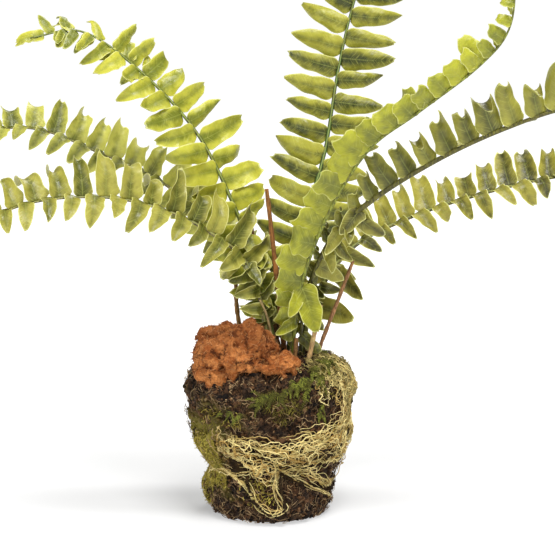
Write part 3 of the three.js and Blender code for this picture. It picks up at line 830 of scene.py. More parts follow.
net = {
    # the band's middle and half height in mm, by azimuth
    "line": [(-36, 90, 5), (-24, 85, 7), (-8, 77, 9), (6, 76, 10), (21, 81, 11), (40, 85, 11), (62, 83, 10),
             (84, 87, 9), (120, 90, 8), (160, 90, 8), (192, 88, 5)],
    "voxel": 0.8,
    "seed": 51,
    "clods": [(3.2, 1.6, 1.1), (1.6, 0.8, 1.0)],  # the bed's lumps: size, height and how far they are sunk
    "fibres": 400,
    "thick": 0.29,
    "step": 0.85,
    "radius": 44,  # the ball's radius under the band
    "curl": 1.05,  # how far a fibre turns from the way of the band, in radians
    # strands that leave the band: azimuth and climb points, the number of fibres and how far apart they lie
    "runs": [
        ([(-44, 70), (-30, 66), (-16, 58), (-10, 49), (2, 44), (12, 47), (5, 58), (8, 66), (10, 74)], 8, 1.7),
        ([(4, 72), (28, 63), (52, 54), (79, 46)], 6, 1.6),
        ([(18, 74), (40, 65), (60, 58), (84, 53)], 10, 2.4),
        ([(-72, 62), (-50, 66), (-30, 67), (-12, 70)], 5, 1.5),
        ([(60, 80), (72, 92), (92, 104), (104, 88), (108, 80)], 12, 2.0),
        ([(150, 86), (166, 66), (186, 60), (196, 74)], 14, 2.0),
        ([(100, 84), (126, 66), (150, 58), (172, 62)], 12, 2.0),
    ],
    # fibres over the shoulder and down the right edge: start azimuth and climb, way, length, how many
    "falls": [
        ((52, 112), (118, 138), -1.6, 26, 70),
        ((60, 108), (92, 120), -1.57, 30, 70),
        ((34, 76), (110, 128), -0.5, 20, 26),
        ((128, 180), (86, 110), -1.2, 26, 50),
    ],
}
netLine = np.array(net["line"], float)


def netFinish():
    f = Finish("fine_roots")
    at = f.place()
    tone = f.axis(f.mark("tone"), "X")
    colour = f.mix(tone.ramp(0, 0.8), shade(184, 147, 74), shade(255, 236, 162))
    fine = f.noise(at, 1.8, 3)
    colour = f.mix(fine.ramp(0.48, 0.75, 0, 0.45), colour, shade(126, 98, 50))
    colour = f.mix(f.noise(at, 9, 2).ramp(0.52, 0.66, 0, 0.4), colour, shade(150, 138, 62))
    return f.set(colour=colour, roughness=0.7, specular=0.3, normal=f.bump(f.noise(at, 0.4, 2), 0.1))


def netBedFinish():
    f = Finish("root_mat")
    fibres = f.noise(f.place((1, 1, 2.2)), 1.0, 5, 0.6, 2.5)
    colour = f.mix(fibres.ramp(0.4, 0.62), shade(24, 15, 8), shade(84, 62, 30))
    colour = f.mix(f.noise(f.place(), 5, 2).ramp(0.45, 0.6, 0, 0.7), colour, shade(38, 27, 14))
    return f.set(colour=colour, roughness=0.9, specular=0.2, normal=f.bump(fibres, 1.0))


def onBand(azimuth):  # the band's middle and half height
    return [np.interp(azimuth, netLine[:, 0], netLine[:, column]) for column in (1, 2)]


def windFibres(rng):  # fibres that wind along the band both ways, and turn back only where they leave it
    count, rings = net["fibres"], netTube.rings
    start, last = netLine[0, 0], netLine[-1, 0]
    first = start + rng.uniform(-3, 12, count)  # the band's left end is ragged
    azimuth = rng.uniform(start, last, count)
    middle, half = onBand(azimuth)
    climb = middle + rng.uniform(-1, 1, count) * half
    backward = rng.choice([0, math.pi], count)
    turns = backward[:, None] + rng.normal(0, 0.6, (count, 1)) + wander(count, rings, rng, net["curl"], (2, 4, 7, 9))
    lift = 0.7 + rng.uniform(0, 2.0, (count, 1)) + wander(count, rings, rng, 0.5)
    paths = np.empty((count, rings, 3))
    for k in range(rings):
        paths[:, k] = onBall(azimuth, climb, np.maximum(lift[:, k], 0.3))
        middle, half = onBand(azimuth)
        away = (climb - middle) / half
        back = np.sign(away) * np.clip(np.abs(away) - 0.75, 0, 0.8) * 1.6
        ends = np.where(azimuth < first, 1.0, np.where(azimuth > last, -1.0, 0.0))
        heading = turns[:, k] + np.where(backward > 1, back, -back)
        ahead = np.where(ends != 0, ends * np.abs(np.cos(heading)), np.cos(heading))
        azimuth = azimuth + np.degrees(ahead * net["step"] / net["radius"])
        climb = climb + np.sin(heading) * net["step"]
    return paths


def buildNet(tree):
    rng = np.random.default_rng(net["seed"])
    bed = evenSkin("root_net", "root_net_bed", net["voxel"], 2)
    pushOut(bed, lambda p: sum(high * (crumble(p, size, 3) - sunk) for size, high, sunk in net["clods"]))
    addPiece(bed, netBedFinish(), ["root_net"])
    rings = netTube.rings
    share = np.linspace(0, 1, rings)
    bundles = [windFibres(rng)]
    for points, fibres, apart in net["runs"]:
        line = Rib([(a, c, 0) for a, c in points]).pointAt(share)
        aside = rng.normal(0, apart * 0.6, (fibres, 1)) + wander(fibres, rings, rng, apart * 0.6, (1, 2, 4, 6))
        slide = wander(fibres, rings, rng, 2.0)
        lift = 0.7 + rng.uniform(0, 1.6, (fibres, 1)) + wander(fibres, rings, rng, 0.4)
        bundles.append(onBall(line[None, :, 0] + slide, line[None, :, 1] + aside, np.maximum(lift, 0.3)))
    for azimuths, climbs, way, long, fibres in net["falls"]:
        heading = way + rng.normal(0, 0.45, (fibres, 1)) + wander(fibres, rings, rng, 1.25, (1, 3, 5, 8))
        lift = np.maximum(0.6 + rng.uniform(0, 1.3, (fibres, 1)) + wander(fibres, rings, rng, 0.4), 0.3)
        step = rng.uniform(0.6, 1.2, fibres) * long / rings
        walk = skinWalk(rng.uniform(*azimuths, fibres), rng.uniform(*climbs, fibres), heading, step, rings, lift)
        bundles.append(drape(tree, walk, lift))
    paths = offFloor(np.concatenate(bundles), 0.5)
    taper = 1 - 0.75 * np.abs(2 * share[None] - 1) ** 6
    radii = net["thick"] * rng.uniform(0.55, 1.35, (len(paths), 1)) * taper
    layStrands("root_net_fibres", netTube, paths, radii, rng, netFinish())


def buildHairs():  # fine dead roots that stand out of the bare soil, and more that lie on it
    rng = np.random.default_rng(soil["hairSeed"])
    count, rings = soil["hairs"] + soil["fibres"], hairTube.rings
    standing = (np.arange(count) < soil["hairs"])[:, None]
    heading = rng.uniform(0, fullTurn, (count, 1)) + wander(count, rings, rng, 0.6, (1, 2))
    lift = rng.uniform(0.4, 1.4, (count, 1))
    lift = lift + np.linspace(0, 1, rings)[None] * np.where(standing, rng.uniform(0, 1.6, (count, 1)), 0)
    azimuth, climb = rng.uniform(-180, 180, count), rng.uniform(*soil["hairClimbs"], count)
    paths = offFloor(skinWalk(azimuth, climb, heading, rng.uniform(0.4, 1.3, count), rings, lift), 0.5)
    radii = rng.uniform(*soil["hairThick"], (count, 1)) * np.array(soil["hairTaper"])[None]
    layStrands("soil_hairs", hairTube, paths, radii, rng,
               threadFinish("dead_roots", shade(46, 29, 16), shade(196, 164, 118), 0.6))


# Each frond: its rib's points, the way its upper face looks at its foot and its tip, how far its leaflets lift off
# the rib, their length, where the first one stands, and their share of length as width.
# Pairs of values hold for the foot and the tip. Its rows: 1 and -1 are the sides of the rib, 0 the loose leaflets.
# A loose leaflet has its place along the rib, the point its tip hangs to, and a turn. An extra one, which stands
# between the others, has its place, side, length, sweep, lift and twist.
fronds = {
    "frond_front": {
        "rib": [(13, -8, 88), (16, -16, 128), (23, -27, 160), (38, -42, 198), (58, -58, 231), (84, -75, 253),
                (117, -92, 281), (132, -100, 303), (134, -106, 338)],
        "upper": [(-0.9, 0.35, 0.1), (-0.7, 0.5, 0.5)],
        "lift": 52, "leaf": 26, "first": 20, "seed": 5, "taper": 0.4, "broad": 1.0, "roll": 0.25, "rim": 0.5,
        "shingle": (0.35, 1.3), "narrow": (1.0, 0.6), "reach": (0.7, 0.68), "stripe": 0.05,
        "rows": {1: {"blunt": 1.1, "cup": (0.35, 0.25), "curl": (0.5, 0.9)},
                 -1: {"blunt": 1.1, "cup": (0.5, 0.3), "curl": (0.6, 0.5)},
                 0: {"blunt": 0.0, "lit": 0.1}},
        "loose": [(54, (11, -27, 119), 10), (35, (-1, -24, 110), 25), (58, (34, -27, 106), -10)],
        "extra": [(247, 1, 27, -12, 80, 20), (200, 1, 24, -8, 76, -15), (160, 1, 22, 4, 74, 20)],
        "dark": (90, 94, 8), "bright": (171, 170, 30), "ribTone": (150, 158, 56),
    },
    "frond_left_high": {
        "rib": [(6, 1, 88), (-7, 3, 147), (-23, 6, 191), (-45, 11, 233), (-78, 13, 269), (-112, 8, 293),
                (-142, -2, 290)],
        "upper": [(0.3, -1, 0.3), (0.2, -0.8, 0.7)],
        "lift": 8, "leaf": 28, "first": 26, "seed": 1, "taper": 0.42, "broad": 0.47, "roll": 0.75, "rim": 0.5,
        "skew": -10, "reach": (0.92, 1.05), "ribGrow": (1.15, 1.15),
        "rows": {1: {"blunt": 0.45, "cup": (-0.4, 0.9), "curl": (-0.3, 1.3), "from": 0.45},
                 -1: {"blunt": 0.4, "cup": (0.3, 0.9), "curl": (-0.3, 1.3), "from": 0.45}},
        "loose": [(66, (-11, -8, 132), 15), (50, (3, -8, 127), -10), (84, (1, -6, 151), 20)],
        "extra": [(196, 1, 17, 40, -6, 12), (203, -1, 15, 24, 8, -10), (214, 1, 18, 30, 4, -14),
                  (222, -1, 16, 34, -8, 16), (234, 1, 17, 38, 6, 10), (241, -1, 16, 22, 10, -12),
                  (252, 1, 15, 52, -4, 14), (257, -1, 15, 30, 6, 8), (270, 1, 16, 74, 0, 0)],
        "dark": (105, 112, 26), "bright": (188, 185, 60), "ribTone": (112, 124, 40),
    },
    "frond_left_back": {
        "rib": [(3, 7, 88), (-9, 12, 141), (-35, 30, 170), (-68, 45, 198), (-106, 57, 214), (-152, 66, 229),
                (-212, 72, 222)],
        "upper": [(0.1, -0.8, 0.6), (0, -0.7, 0.8)],
        "lift": 14, "leaf": 23, "first": 30, "seed": 2, "taper": 0.7, "broad": 0.59, "roll": 0.7, "rim": 0.65,
        "reach": (0.95, 1.0),
        "rows": {1: {"blunt": 0.9, "cup": (1.0, 0.4), "curl": (-1.2, 1.5)},
                 -1: {"blunt": 0.1, "cup": (0.6, 0.4), "curl": (-0.5, 0.5), "from": 0.3, "before": 1.5, "long": 0.74}},
        "dark": (84, 89, 29), "bright": (188, 185, 84), "ribTone": (142, 132, 80),
    },
    "frond_left_low": {
        "rib": [(2, -4, 88), (-11, -8, 150), (-39, -14, 177), (-71, -20, 192), (-104, -26, 198), (-145, -32, 194),
                (-190, -36, 174)],
        "upper": [(0.2, -0.8, 0.6), (0, -0.8, 0.6)],
        "lift": 22, "leaf": 25, "first": 30, "seed": 3, "taper": 0.7, "broad": 0.52, "roll": 0.7, "rim": 0.55,
        "rows": {1: {"blunt": 0.9, "cup": (1.0, 0.4), "curl": (-1.3, 1.5)},
                 -1: {"blunt": 0.1, "cup": (0.6, 0.4), "curl": (-0.5, 0.5), "from": 0.3, "before": 1.5, "long": 0.84}},
        "loose": [(78, (-29, -16, 146), 20), (60, (-20, -14, 136), -15), (70, (-5, -16, 144), 10)],
        "dark": (78, 82, 24), "bright": (162, 156, 66), "ribTone": (142, 132, 80),
    },
    "frond_back": {
        "rib": [(11, 9, 88), (14, 12, 129), (23, 22, 180), (34, 32, 220), (42, 42, 268), (52, 50, 310), (68, 54, 355)],
        "upper": [(0.05, -1, 0.3), (0, -1, 0.4)],
        "lift": 4, "leaf": 31, "first": 30, "seed": 4, "taper": 0.82, "broad": 0.41, "roll": 0.4, "rim": 0.5,
        "ribGrow": (1.3, 1.3),
        "rows": {1: {"cup": (-0.7, 0.5), "curl": (-0.5, 0.7)}, -1: {"cup": (-0.7, 0.5), "curl": (-0.5, 0.7)},
                 0: {"broad": 0.45}},
        "loose": [(20, (-5, 6, 118), 20), (36, (27, 2, 117), -10), (44, (4, 2, 116), 10), (58, (23, 0, 131), 0),
                  (30, (17, -4, 109), 0)],
        "dark": (51, 58, 16), "bright": (162, 158, 53), "ribTone": (70, 100, 36),
    },
    "frond_right_high": {
        "rib": [(18, -4, 88), (21, -11, 133), (36, -24, 172), (60, -38, 198), (98, -52, 224), (136, -62, 243),
                (172, -68, 255), (216, -74, 256)],
        "upper": [(-0.2, 0.65, 0.7), (-0.1, 0.6, 0.8)],
        "lift": 42, "leaf": 27, "first": 34, "seed": 6, "taper": 0.8, "broad": 0.54, "roll": 0.5, "rim": 0.62,
        "reach": (0.72, 1.08), "ribGrow": (0.8, 1.7),
        "rows": {1: {"blunt": 1.0, "cup": (1.1, 0.3), "curl": (-1.6, 1.4), "from": 0.52},
                 -1: {"blunt": 0.6, "cup": (0.6, 0.4), "curl": (0.5, 0.6)},
                 0: {"blunt": 0.25, "cup": (0.6, 0.4), "curl": (-0.2, 0.5), "broad": 0.52}},
        "loose": [(100, (31, -34, 161), 15), (118, (40, -38, 174), -10), (56, (36, -24, 136), -20),
                  (70, (49, -24, 147), -10), (92, (51, -32, 157), -25), (114, (70, -38, 171), -30),
                  (84, (40, -34, 152), 10), (106, (48, -42, 171), 20)],
        "extra": [(24, -1, 23, -48, -30, 10), (38, -1, 24, -36, -38, -15)],
        "dark": (46, 46, 10), "bright": (148, 142, 55), "ribTone": (112, 108, 40),
    },
    "frond_right_low": {
        "rib": [(18, 4, 88), (26, 8, 127), (49, 20, 159), (84, 34, 176), (128, 46, 189), (179, 58, 199),
                (224, 64, 201), (260, 68, 192)],
        "upper": [(0, -0.6, 0.8), (0, -0.5, 0.85)],
        "lift": 28, "leaf": 25, "first": 24, "seed": 8, "taper": 0.75, "broad": 0.53, "roll": 0.6, "rim": 0.75,
        "reach": (0.9, 1.0), "ribGrow": (1.3, 1.3),
        "rows": {1: {"blunt": 0.15, "cup": (0.7, 0.4), "curl": (-1.5, 0.5), "from": 0.15, "before": 1.5, "long": 0.74},
                 -1: {"blunt": 0.9, "cup": (0.9, 0.4), "curl": (-1.0, 1.6)}},
        "loose": [(40, (55, 2, 120), -10), (66, (59, 6, 130), -20)],
        "dark": (56, 56, 14), "bright": (156, 148, 58), "ribTone": (128, 124, 50),
    },
}
# what holds where a frond says nothing else, for the whole frond and for each of its rows
plainFrond = {"skew": 0, "shingle": (1, 1), "narrow": (1, 1), "reach": (1, 1), "ribGrow": (1, 1), "stripe": 0.13,
              "loose": [], "extra": []}
plainRow = {"blunt": 0.3, "from": 0.5, "before": 0, "long": 1, "lit": 0}
plainLoose = {"cup": (0.5, 0.4), "curl": (0.1, 0.4), "from": 0.4, "broad": 0.5}
leaf = {
    "thick": 0.42,
    "pitch": 13.6,  # from one pair of leaflets to the next
    "sweep": 1,  # degrees towards the tip
    "hook": 0.07,  # how far its tip bends aside, as a share of its length
    "shingle": 13,  # how far each one turns over the next, in degrees
    "droop": 0.16,
    "fits": [(1, 0), (0.86, 12), (0.72, 26), (0.56, 40)],  # growth, and degrees folded towards the tip
    "wave": 0.06,  # waviness of its outline, as a share of its width
    "ruffle": 0.6,  # how far its edge ruffles, mm
    "near": 0.15,  # how near a corner of the solid must lie to where its tip would be, mm
    "solidThick": 0.65,  # the solid leaflet's own thickness, mm
}
ribSize = {"foot": 1.6, "tip": 0.55}


def leafGrowth(share, taper):
    young = 0.62 + 0.38 * math.sin(math.pi / 2 * min(1, share / 0.22))
    return young * (1 - 0.62 * max(0, (share - taper) / (1 - taper)) ** 1.4)


def leafPlaces(frond, whole):
    places = []
    length = frond["first"]
    pair = 0
    while length < whole - 8:
        share = (length - frond["first"]) / (whole - frond["first"])
        growth = leafGrowth(share, frond["taper"])
        step = leaf["pitch"] * (0.45 + 0.55 * growth)
        for side in (-1, 1):
            seed = frond["seed"] * 100 + pair * 2 + (1 if side > 0 else 0)
            places.append({
                "side": side,
                "seed": seed,
                "length": length + (step / 2 if side > 0 else 0),
                "long": frond["leaf"] * growth * (1 + spread(seed, 1, 0.08)),
                "sweep": leaf["sweep"] + side * frond["skew"] + 40 * max(0, share - 0.7) + spread(seed, 2, 4),
                "lift": frond["lift"] + spread(seed, 3, 9),
                "twist": leaf["shingle"] + spread(seed, 4, 8),
                "droop": leaf["droop"] * (1 + spread(seed, 5, 0.9)),
            })
        length += step
        pair += 1
    places.append({"side": 1, "seed": frond["seed"], "length": whole - 2, "long": 12, "sweep": 86, "lift": 0,
                   "twist": 0, "droop": 0.1})
    return [place for place in places if place["length"] < whole - 1]


def extraPlace(frond, k, length, side, long, sweep, lift, twist):  # a small leaflet between the main ones
    return {"side": side, "seed": frond["seed"] * 100 + 70 + k, "length": length, "long": long, "sweep": sweep,
            "lift": lift, "twist": twist, "droop": 0.15}


def loosePlace(frond, k, length, tip, turn):  # a leaflet from the rib to a point, its face turned from the viewer
    start = frond["curve"].pointAt(length / frond["curve"].whole)[0]
    return {"side": 0, "seed": frond["seed"] * 100 + 90 + k, "length": length, "tip": np.array(tip, float),
            "long": np.linalg.norm(np.array(tip) - start), "turn": turn, "droop": 0.1}


def ribFrames(frond, shares):
    along = frond["curve"].tangentAt(shares)
    first, last = np.array(frond["upper"], float)
    upper = first + (last - first) * np.atleast_1d(shares)[:, None]
    upper = unit(upper - np.sum(upper * along, axis=1, keepdims=True) * along)
    return frond["curve"].pointAt(shares), along, upper, np.cross(along, upper)


def leafAxes(frond, place, fold, shingle=1):  # where a leaflet stands, the way it grows, its width and its face
    share = place["length"] / frond["curve"].whole
    point, along, upper, across = (row[0] for row in ribFrames(frond, share))
    if "tip" in place:
        out = unit(place["tip"] - point)
        wide = unit(np.cross(out, (0, -1, 0.2)))
        thick, twist = np.cross(wide, out), math.radians(place["turn"])
    else:
        sweep, lift, twist = (math.radians(v) for v in (place["sweep"] + fold, place["lift"], place["twist"]))
        twist *= shingle
        flat = across * place["side"] * math.cos(sweep) + along * math.sin(sweep)
        out = flat * math.cos(lift) + upper * math.sin(lift)
        thick = upper * math.cos(lift) - flat * math.sin(lift)
        wide = along * math.cos(sweep) - across * place["side"] * math.sin(sweep)
    cos, sin = math.cos(twist), math.sin(twist)
    return point, out, wide * cos + thick * sin, thick * cos - wide * sin


def leafFit(frond, place, corners):  # the growth and fold that the part gave this leaflet, from where its tip is
    for grow, fold in leaf["fits"]:
        point, out, wide, thick = leafAxes(frond, place, fold)
        long = place["long"] * grow
        tip = point + out * long + wide * leaf["hook"] * long - thick * place["droop"] * long
        faces = [tip + thick * half for half in (-leaf["solidThick"] / 2, leaf["solidThick"] / 2)]
        if all(corners.find(Vector(point) * mm)[2] < leaf["near"] * mm for point in faces):
            return grow, fold
    return None


def leafOutline(share, blunt):  # half width at a share of its length: a pointed leaf, or one with a cut end
    foot = np.sin(math.pi / 2 * np.minimum(1, (share + 0.1) / 0.22))
    pointed = 1 - np.maximum(0, (share - 0.3) / 0.72) ** 2.7
    cut = 1 - 0.5 * np.maximum(0, (share - 0.4) / 0.6) ** 4
    return foot * (pointed + (cut - pointed) * blunt)


def leafPoints(frond, place, fit):  # the leaf stamp's points bent to one leaflet, and what its finish reads there
    seed = place["seed"]
    up = place["length"] / frond["curve"].whole
    point, out, wide, thick = leafAxes(frond, place, fit[1], np.interp(up, (0.4, 0.8), frond["shingle"]))
    row = frond["rows"][place["side"]]
    long = place["long"] * fit[0] * row["long"] * np.interp(up, (0.15, 0.9), frond["reach"])
    size = min(1, long / 20)
    point = point - out * row["before"] + thick * row["before"] * 0.7
    share = (leafBlade.points[:, 0] + 1) / 2
    hand = 1 if np.cross(wide, thick) @ out > 0 else -1
    y = hand * np.sin(leafBlade.points[:, 1] * math.pi / 2)
    z = leafBlade.points[:, 2]
    phase = draw(seed, 6) * fullTurn
    blunt = min(max(row["blunt"] * (1.25 - 0.5 * up) + spread(seed, 11, 0.3), 0), 1.2)
    outline = leafOutline(share, blunt)
    waves = np.sin(share * 9 + phase + 2 * y) + 0.5 * np.sin(share * 19 + 2 * phase - y)
    wave = leaf["wave"] * waves * (1 - share**3)
    ear = np.where(y < 0, 1 + 0.15 * np.exp(-(((share - 0.16) / 0.14) ** 2)), 1)
    half = long * row["broad"] * (1 + spread(seed, 12, 0.1)) * outline * ear * (1 + wave * np.abs(y)) / 2
    half = half * np.interp(up, (0.6, 0.9), frond["narrow"])
    # the blade cups across its width and curls along its length, each as an arc
    cup = (row["cup"][0] + spread(seed, 7, row["cup"][1])) * (0.5 + 0.8 * share)
    cup = np.where(np.abs(cup) < 1e-3, 1e-3, cup)
    curl = row["curl"][0] + spread(seed, 9, row["curl"][1]) + 1e-3
    start = row["from"] + spread(seed, 15, 0.12)
    steps = np.linspace(0, 1, 61)
    turning = curl * ease(steps, start, start + 0.42)
    ahead, over = (np.interp(share, steps, np.cumsum(move(turning)) / 60) for move in (np.cos, np.sin))
    over = over - place["droop"] * share**2
    bend = np.interp(share, steps, turning)
    notch = share**3 * blunt * (0.07 * (y * y - 0.6) + spread(seed, 13, 0.1) * y)
    roll = (spread(seed, 14, frond["roll"]) * share)[:, None]
    side = wide * np.cos(roll) + thick * np.sin(roll)
    face = thick * np.cos(roll) - wide * np.sin(roll)
    face = face * np.cos(bend)[:, None] - out * np.sin(bend)[:, None]
    frill = np.abs(y) ** 2 * np.sin(share * (12 + 6 * draw(seed, 8)) + phase + 1.5 * np.sign(y))
    ripple = leaf["ruffle"] * size * (frill + 0.7 * np.sin(share * 8 + 2 * phase + y))
    crease = 0.3 * np.exp(-((y / 0.14) ** 2)) * (1 - share)
    rise = (half * (1 - np.cos(y * cup)) / cup + ripple * outline - crease) * np.minimum(1, share * 5)
    points = (point + np.outer(long * (ahead + notch), out) + np.outer(long * over * np.minimum(1, share * 6), thick)
              + side * (half * np.sin(y * cup) / cup + leaf["hook"] * long * share**2)[:, None]
              + face * (rise + leaf["thick"] * size * z * (1 - 0.35 * np.abs(y) ** 4))[:, None])
    edge = np.minimum(half * (1 - np.abs(y)), long * (1.0 - share) * (0.8 + 0.2 * blunt))
    shaded = np.interp(up, (0.1, 0.42), (0.25, 1)) if place["side"] else 1  # painted shade: darker near the frond's foot, in the crown's shade
    luckAndShade = draw(seed, 10) * shaded + row["lit"]
    leafPlace = np.stack([long * share, half * y, np.full(len(share), luckAndShade)], axis=1)
    return points, leafPlace, np.stack([edge, share, z], axis=1)


def leafFinish(name, frond):
    f = Finish(name + "_leaf")
    place = f.mark("leafPlace")
    look = f.mark("leafLook")
    along, across, luckAndShade = (f.axis(place, letter) for letter in "XYZ")
    edge, share, face = (f.axis(look, letter) for letter in "XYZ")
    shifted = f.vector(along, across, luckAndShade * 400)
    aside = abs(across)
    veinAt = f.vector((along - aside * 0.75) * 1.5, aside * 0.16, luckAndShade * 400)
    veins = f.noise(veinAt, 1.0, 2, 0.6)
    mottle = f.noise(shifted, 7.0, 2)
    blotch = f.noise(shifted, 2.6, 3)
    dark, bright = shade(*frond["dark"]), shade(*frond["bright"])
    # dark along its middle and foot, bright towards the edge and the tip
    stripe, evened = frond["stripe"], (plainFrond["stripe"] - frond["stripe"]) * 2.2
    # painted shade: the per-leaflet tone read from the mark is lower for leaflets near the frond's foot
    lit = share * 0.3 + aside * stripe + (mottle - 0.5) * 1.1 + (luckAndShade - 0.5) * 0.6 + 0.1 + evened
    colour = f.mix(lit.ramp(0.0, 0.95), dark, bright)
    colour = f.mix(blotch.ramp(0.55, 0.75, 0, 0.25), colour, dark)
    colour = f.mix(veins.ramp(0.52, 0.7, 0, 0.25), colour, shade(204, 204, 104))
    midrib = aside.ramp(0.5, 0.15) * share.ramp(0.9, 0.3)
    colour = f.mix(midrib * 0.22, colour, shade(180, 186, 90))
    rim = edge.ramp(0.75, 0.3)
    colour = f.mix(rim * frond["rim"], colour, shade(222, 221, 144))
    colour = f.mix(face.ramp(0.1, -0.1, 0, 0.12), colour, shade(176, 182, 96))
    roughness = mottle.ramp(0.3, 0.7, 0.34, 0.5)
    normal = f.bump(veins, 0.1, f.bump(f.noise(shifted, 3.2, 1), 0.5))
    return f.set(colour=colour, roughness=roughness, specular=0.36, normal=normal,
                 subsurface=0.06, subsurfaceScale=0.001, subsurfaceRadius=(0.6, 1.0, 0.25))


def ribFinish(name, frond):
    f = Finish(name + "_rib")
    at = f.place()
    fine = f.noise(f.place((1, 1, 0.25)), 1.2, 4)
    tone = shade(*frond["ribTone"])
    deep = shade(*(int(v * 0.55) for v in frond["ribTone"]))
    grooveAndHighlight = f.axis(f.mark("tone"), "Z")
    colour = f.mix(fine.ramp(0.35, 0.7), deep, tone)
    # painted highlight: a pale line along the top of the rib, over its groove
    colour = f.mix(grooveAndHighlight.ramp(0.2, 0.95, 0, 0.5), colour, shade(166, 178, 92))
    colour = f.mix(f.noise(at, 14, 2).ramp(0.5, 0.7, 0, 0.25), colour, shade(120, 96, 48))
    return f.set(colour=colour, roughness=0.5, specular=0.4, normal=f.bump(fine, 0.2))


def buildFrond(name, own):
    frond = {**plainFrond, **own, "curve": Rib(own["rib"])}
    frond["rows"] = {side: {"broad": frond["broad"], **plainRow, **({} if side else plainLoose),
                            **own["rows"].get(side, {})} for side in (1, -1, 0)}
    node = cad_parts[name].data
    corners = KDTree(len(node.vertices))
    for k, vertex in enumerate(node.vertices):
        corners.insert(vertex.co, k)
    corners.balance()
    places = [(place, leafFit(frond, place, corners)) for place in leafPlaces(frond, frond["curve"].whole)]
    places += [(extraPlace(frond, k, *values), (1, 0)) for k, values in enumerate(frond["extra"])]
    places += [(loosePlace(frond, k, *values), (1, 0)) for k, values in enumerate(frond["loose"])]
    made = [leafPoints(frond, place, fit) for place, fit in places if fit]
    points, leafPlace, leafLook = (np.array(rows) for rows in zip(*made))
    mesh = layDown(name + "_leaflets", leafBlade, points, {"leafPlace": leafPlace, "leafLook": leafLook})
    addPiece(mesh, leafFinish(name, frond), [name])
    shares = np.linspace(0, 1, ribTube.rings)
    point, along, upper, across = ribFrames(frond, shares)
    radius = ribSize["foot"] + (ribSize["tip"] - ribSize["foot"]) * shares
    ring = ribTube.ring
    x, y = ribTube.points[:, 0], ribTube.points[:, 1]
    # the groove along the rib's top, which also carries the painted highlight line
    grooveAndHighlight = np.maximum(0, y) ** 6
    grow = np.interp(shares, (0.1, 0.4), frond["ribGrow"])
    far = ((radius * grow)[ring] * 0.86 * (1 - 0.28 * grooveAndHighlight))[:, None]
    tube = point[ring] + far * (upper[ring] * y[:, None] - across[ring] * x[:, None])
    marks = {"tone": np.stack([x, shares[ring], grooveAndHighlight], axis=-1)[None]}
    addPiece(layDown(name + "_rib", ribTube, tube[None], marks), ribFinish(name, frond), [name])
    print(name, "leaflets", len(made), "of", len(places))


# each dry stalk: its line, the radius of its foot and its top, and its colour
stalks = {
    "stalk_tall": ([(10, 0, 87), (5, -3, 137), (0, -5, 183), (-2, -5, 200)], 2, 1.3, (162, 107, 54)),
    "stalk_left": ([(8, 5, 87), (1, 7, 123), (-9, 8, 164), (-11, 8, 178)], 1.7, 0.7, (120, 84, 44)),
    "stalk_far_left": ([(-14, 9, 87), (-20, 9, 122), (-21, 9, 144)], 1.7, 1.4, (158, 118, 66)),
    "stalk_right": ([(24.5, -6, 87), (32, -8, 109), (41, -9, 133), (50, -9, 157)], 1.4, 1.1, (182, 132, 88)),
    "stalk_pale": ([(20, -15, 86), (24, -15, 101), (30.5, -14, 131)], 1.6, 1.4, (232, 188, 126)),
    "stalk_thin": ([(5, -12, 88), (-1, -13, 121), (-6, -14, 134)], 0.9, 0.7, (188, 160, 108)),
    "stalk_stub": ([(14, -16, 86), (15, -16, 98), (16, -16, 111)], 1.5, 1.3, (156, 112, 64)),
}


def stalkFinish(name, tone):
    f = Finish(name + "_bark")
    grainAlong = f.noise(f.place((2.4, 2.4, 0.22)), 1.0, 4, 0.6, 0.4)
    patches = f.noise(f.place(), 6, 3)
    base = shade(*tone)
    deep = shade(*(int(v * 0.62) for v in tone))
    colour = f.mix(grainAlong.ramp(0.35, 0.65), deep, base)
    colour = f.mix(patches.ramp(0.5, 0.7, 0, 0.5), colour, shade(*(min(255, int(v * 1.25)) for v in tone)))
    return f.set(colour=colour, roughness=0.72, specular=0.3, normal=f.bump(grainAlong, 0.5))


def buildStalk(name, line, foot, top, tone):
    shares = np.linspace(0, 1, stalkTube.rings)
    path = Rib(line).pointAt(shares)
    radii = (foot + (top - foot) * shares) * (1 + 0.07 * np.sin(shares * 37 + foot * 9) + 0.05 * np.sin(shares * 83))
    points = alongPaths(stalkTube, path[None], radii[None] * 0.96)[0]
    rough = 0.12 * grain(points, 1.5, foot)[:, None]
    points = points + rough * unit(points - path[stalkTube.ring])
    addPiece(layDown(name + "_bark", stalkTube, points[None]), stalkFinish(name, tone), [name])


soilBody = buildSoil()
darkCrumb = crumbFinish("soil_crumb", shade(17, 9, 4), shade(114, 79, 47), shade(204, 168, 118), 0.8)
darkClump = crumbFinish("soil_clump", shade(16, 8, 4), shade(96, 65, 38), shade(138, 101, 63), 0.8)
for name, values in soil["bits"].items():
    layBits(name, soilBody.data, *values, darkClump if name == "soil_clumps" else darkCrumb, "soil", bareSoil)
buildHairs()
print("soil done")
buildCoir()
print("coir done")
padTree = buildMoss()
print("moss done")
buildNet(padTree)
print("root net done")
for name, frond in fronds.items():
    buildFrond(name, frond)
for name, values in stalks.items():
    buildStalk(name, *values)
print("fronds and stalks done")

studio = {
    "floor": 40.0,
    "glow": 0.9,  # the floor's own light, which keeps it white as far as it is seen
    "shadowAt": (-0.045, 0.018, 0),  # a soft painted shadow on the floor, left of the ball
    "shadowSize": (0.13, 0.034, 1),
    "world": 0.32,
    # each light's x, y and z, its size and its power
    "lights": {
        "key": (0.35, -0.85, 1.7, 0.7, 34),
        "fill": (-1.1, -1.5, 0.8, 0.9, 10),
        "rim": (0.4, 1.1, 1.4, 0.8, 14),
    },
    "aim": (0, 0, 0.15),
    "camera": (0.004545, -1.28025, 0.371279),
    "tilt": 80.0,
    "lens": 139.15,
    "sensor": 36,
}


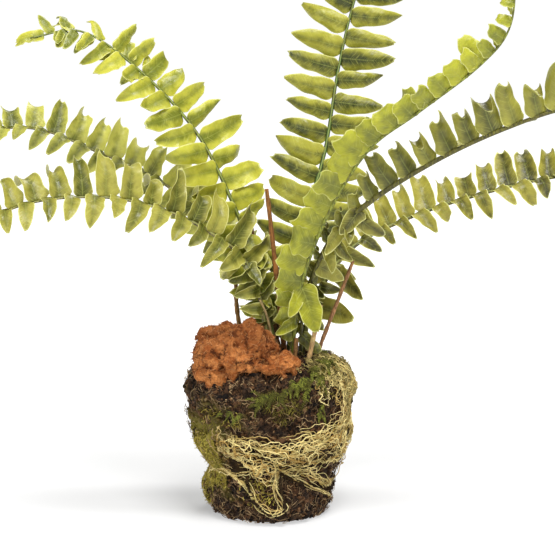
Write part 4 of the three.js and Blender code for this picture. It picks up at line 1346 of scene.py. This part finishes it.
def buildFloor():
    bm = bmesh.new()
    bmesh.ops.create_grid(bm, x_segments=1, y_segments=1, size=studio["floor"])
    mesh = bpy.data.meshes.new("studio_floor")
    bm.to_mesh(mesh)
    bm.free()
    floor = addObject("studio_floor", mesh)
    f = Finish("white_floor")
    at = f.node("ShaderNodeTexCoord", out="Object")
    away = f.node("ShaderNodeVectorMath", {"operation": "LENGTH"}, {0: at}, out="Value")
    shifted = f.node("ShaderNodeVectorMath", {"operation": "SUBTRACT"}, {0: at, 1: studio["shadowAt"]})
    squeezed = f.node("ShaderNodeVectorMath", {"operation": "DIVIDE"}, {0: shifted, 1: studio["shadowSize"]})
    inShadow = f.node("ShaderNodeVectorMath", {"operation": "LENGTH"}, {0: squeezed}, out="Value").ramp(1.5, 0.4)
    # painted shade: the floor's glow is dimmer within half a metre of the ball
    glow = f.mix(away.ramp(0.08, 0.5), (0.62, 0.62, 0.62, 1), (1, 1, 1, 1))
    # painted shadow: a soft dark patch left of the ball dims the glow
    glow = f.mix(inShadow * 0.42, glow, (0, 0, 0, 1))
    mesh.materials.append(f.set(colour=(0.4, 0.4, 0.4, 1), roughness=0.9, specular=0.1,
                                glow=glow, glowStrength=studio["glow"]))


def buildLights():
    world = bpy.data.worlds.new("studio")
    bpy.context.scene.world = world
    world.use_nodes = True
    world.node_tree.nodes["Background"].inputs["Color"].default_value = (1, 1, 1, 1)
    world.node_tree.nodes["Background"].inputs["Strength"].default_value = studio["world"]
    for name, (x, y, z, size, power) in studio["lights"].items():
        light = bpy.data.lights.new(name, "AREA")
        light.size = size
        light.energy = power
        lamp = addObject(name, light)
        lamp.location = (x, y, z)
        lamp.rotation_euler = (Vector(studio["aim"]) - lamp.location).to_track_quat("-Z", "Y").to_euler()


def buildCamera():
    camera = bpy.data.cameras.new("camera")
    camera.lens = studio["lens"]
    camera.sensor_width = studio["sensor"]
    holder = addObject("camera", camera)
    holder.location = studio["camera"]
    holder.rotation_euler = (math.radians(studio["tilt"]), 0, 0)
    bpy.context.scene.camera = holder


buildFloor()
buildLights()
buildCamera()
bpy.context.scene.view_settings.view_transform = "Standard"
print("floor, light and camera done")
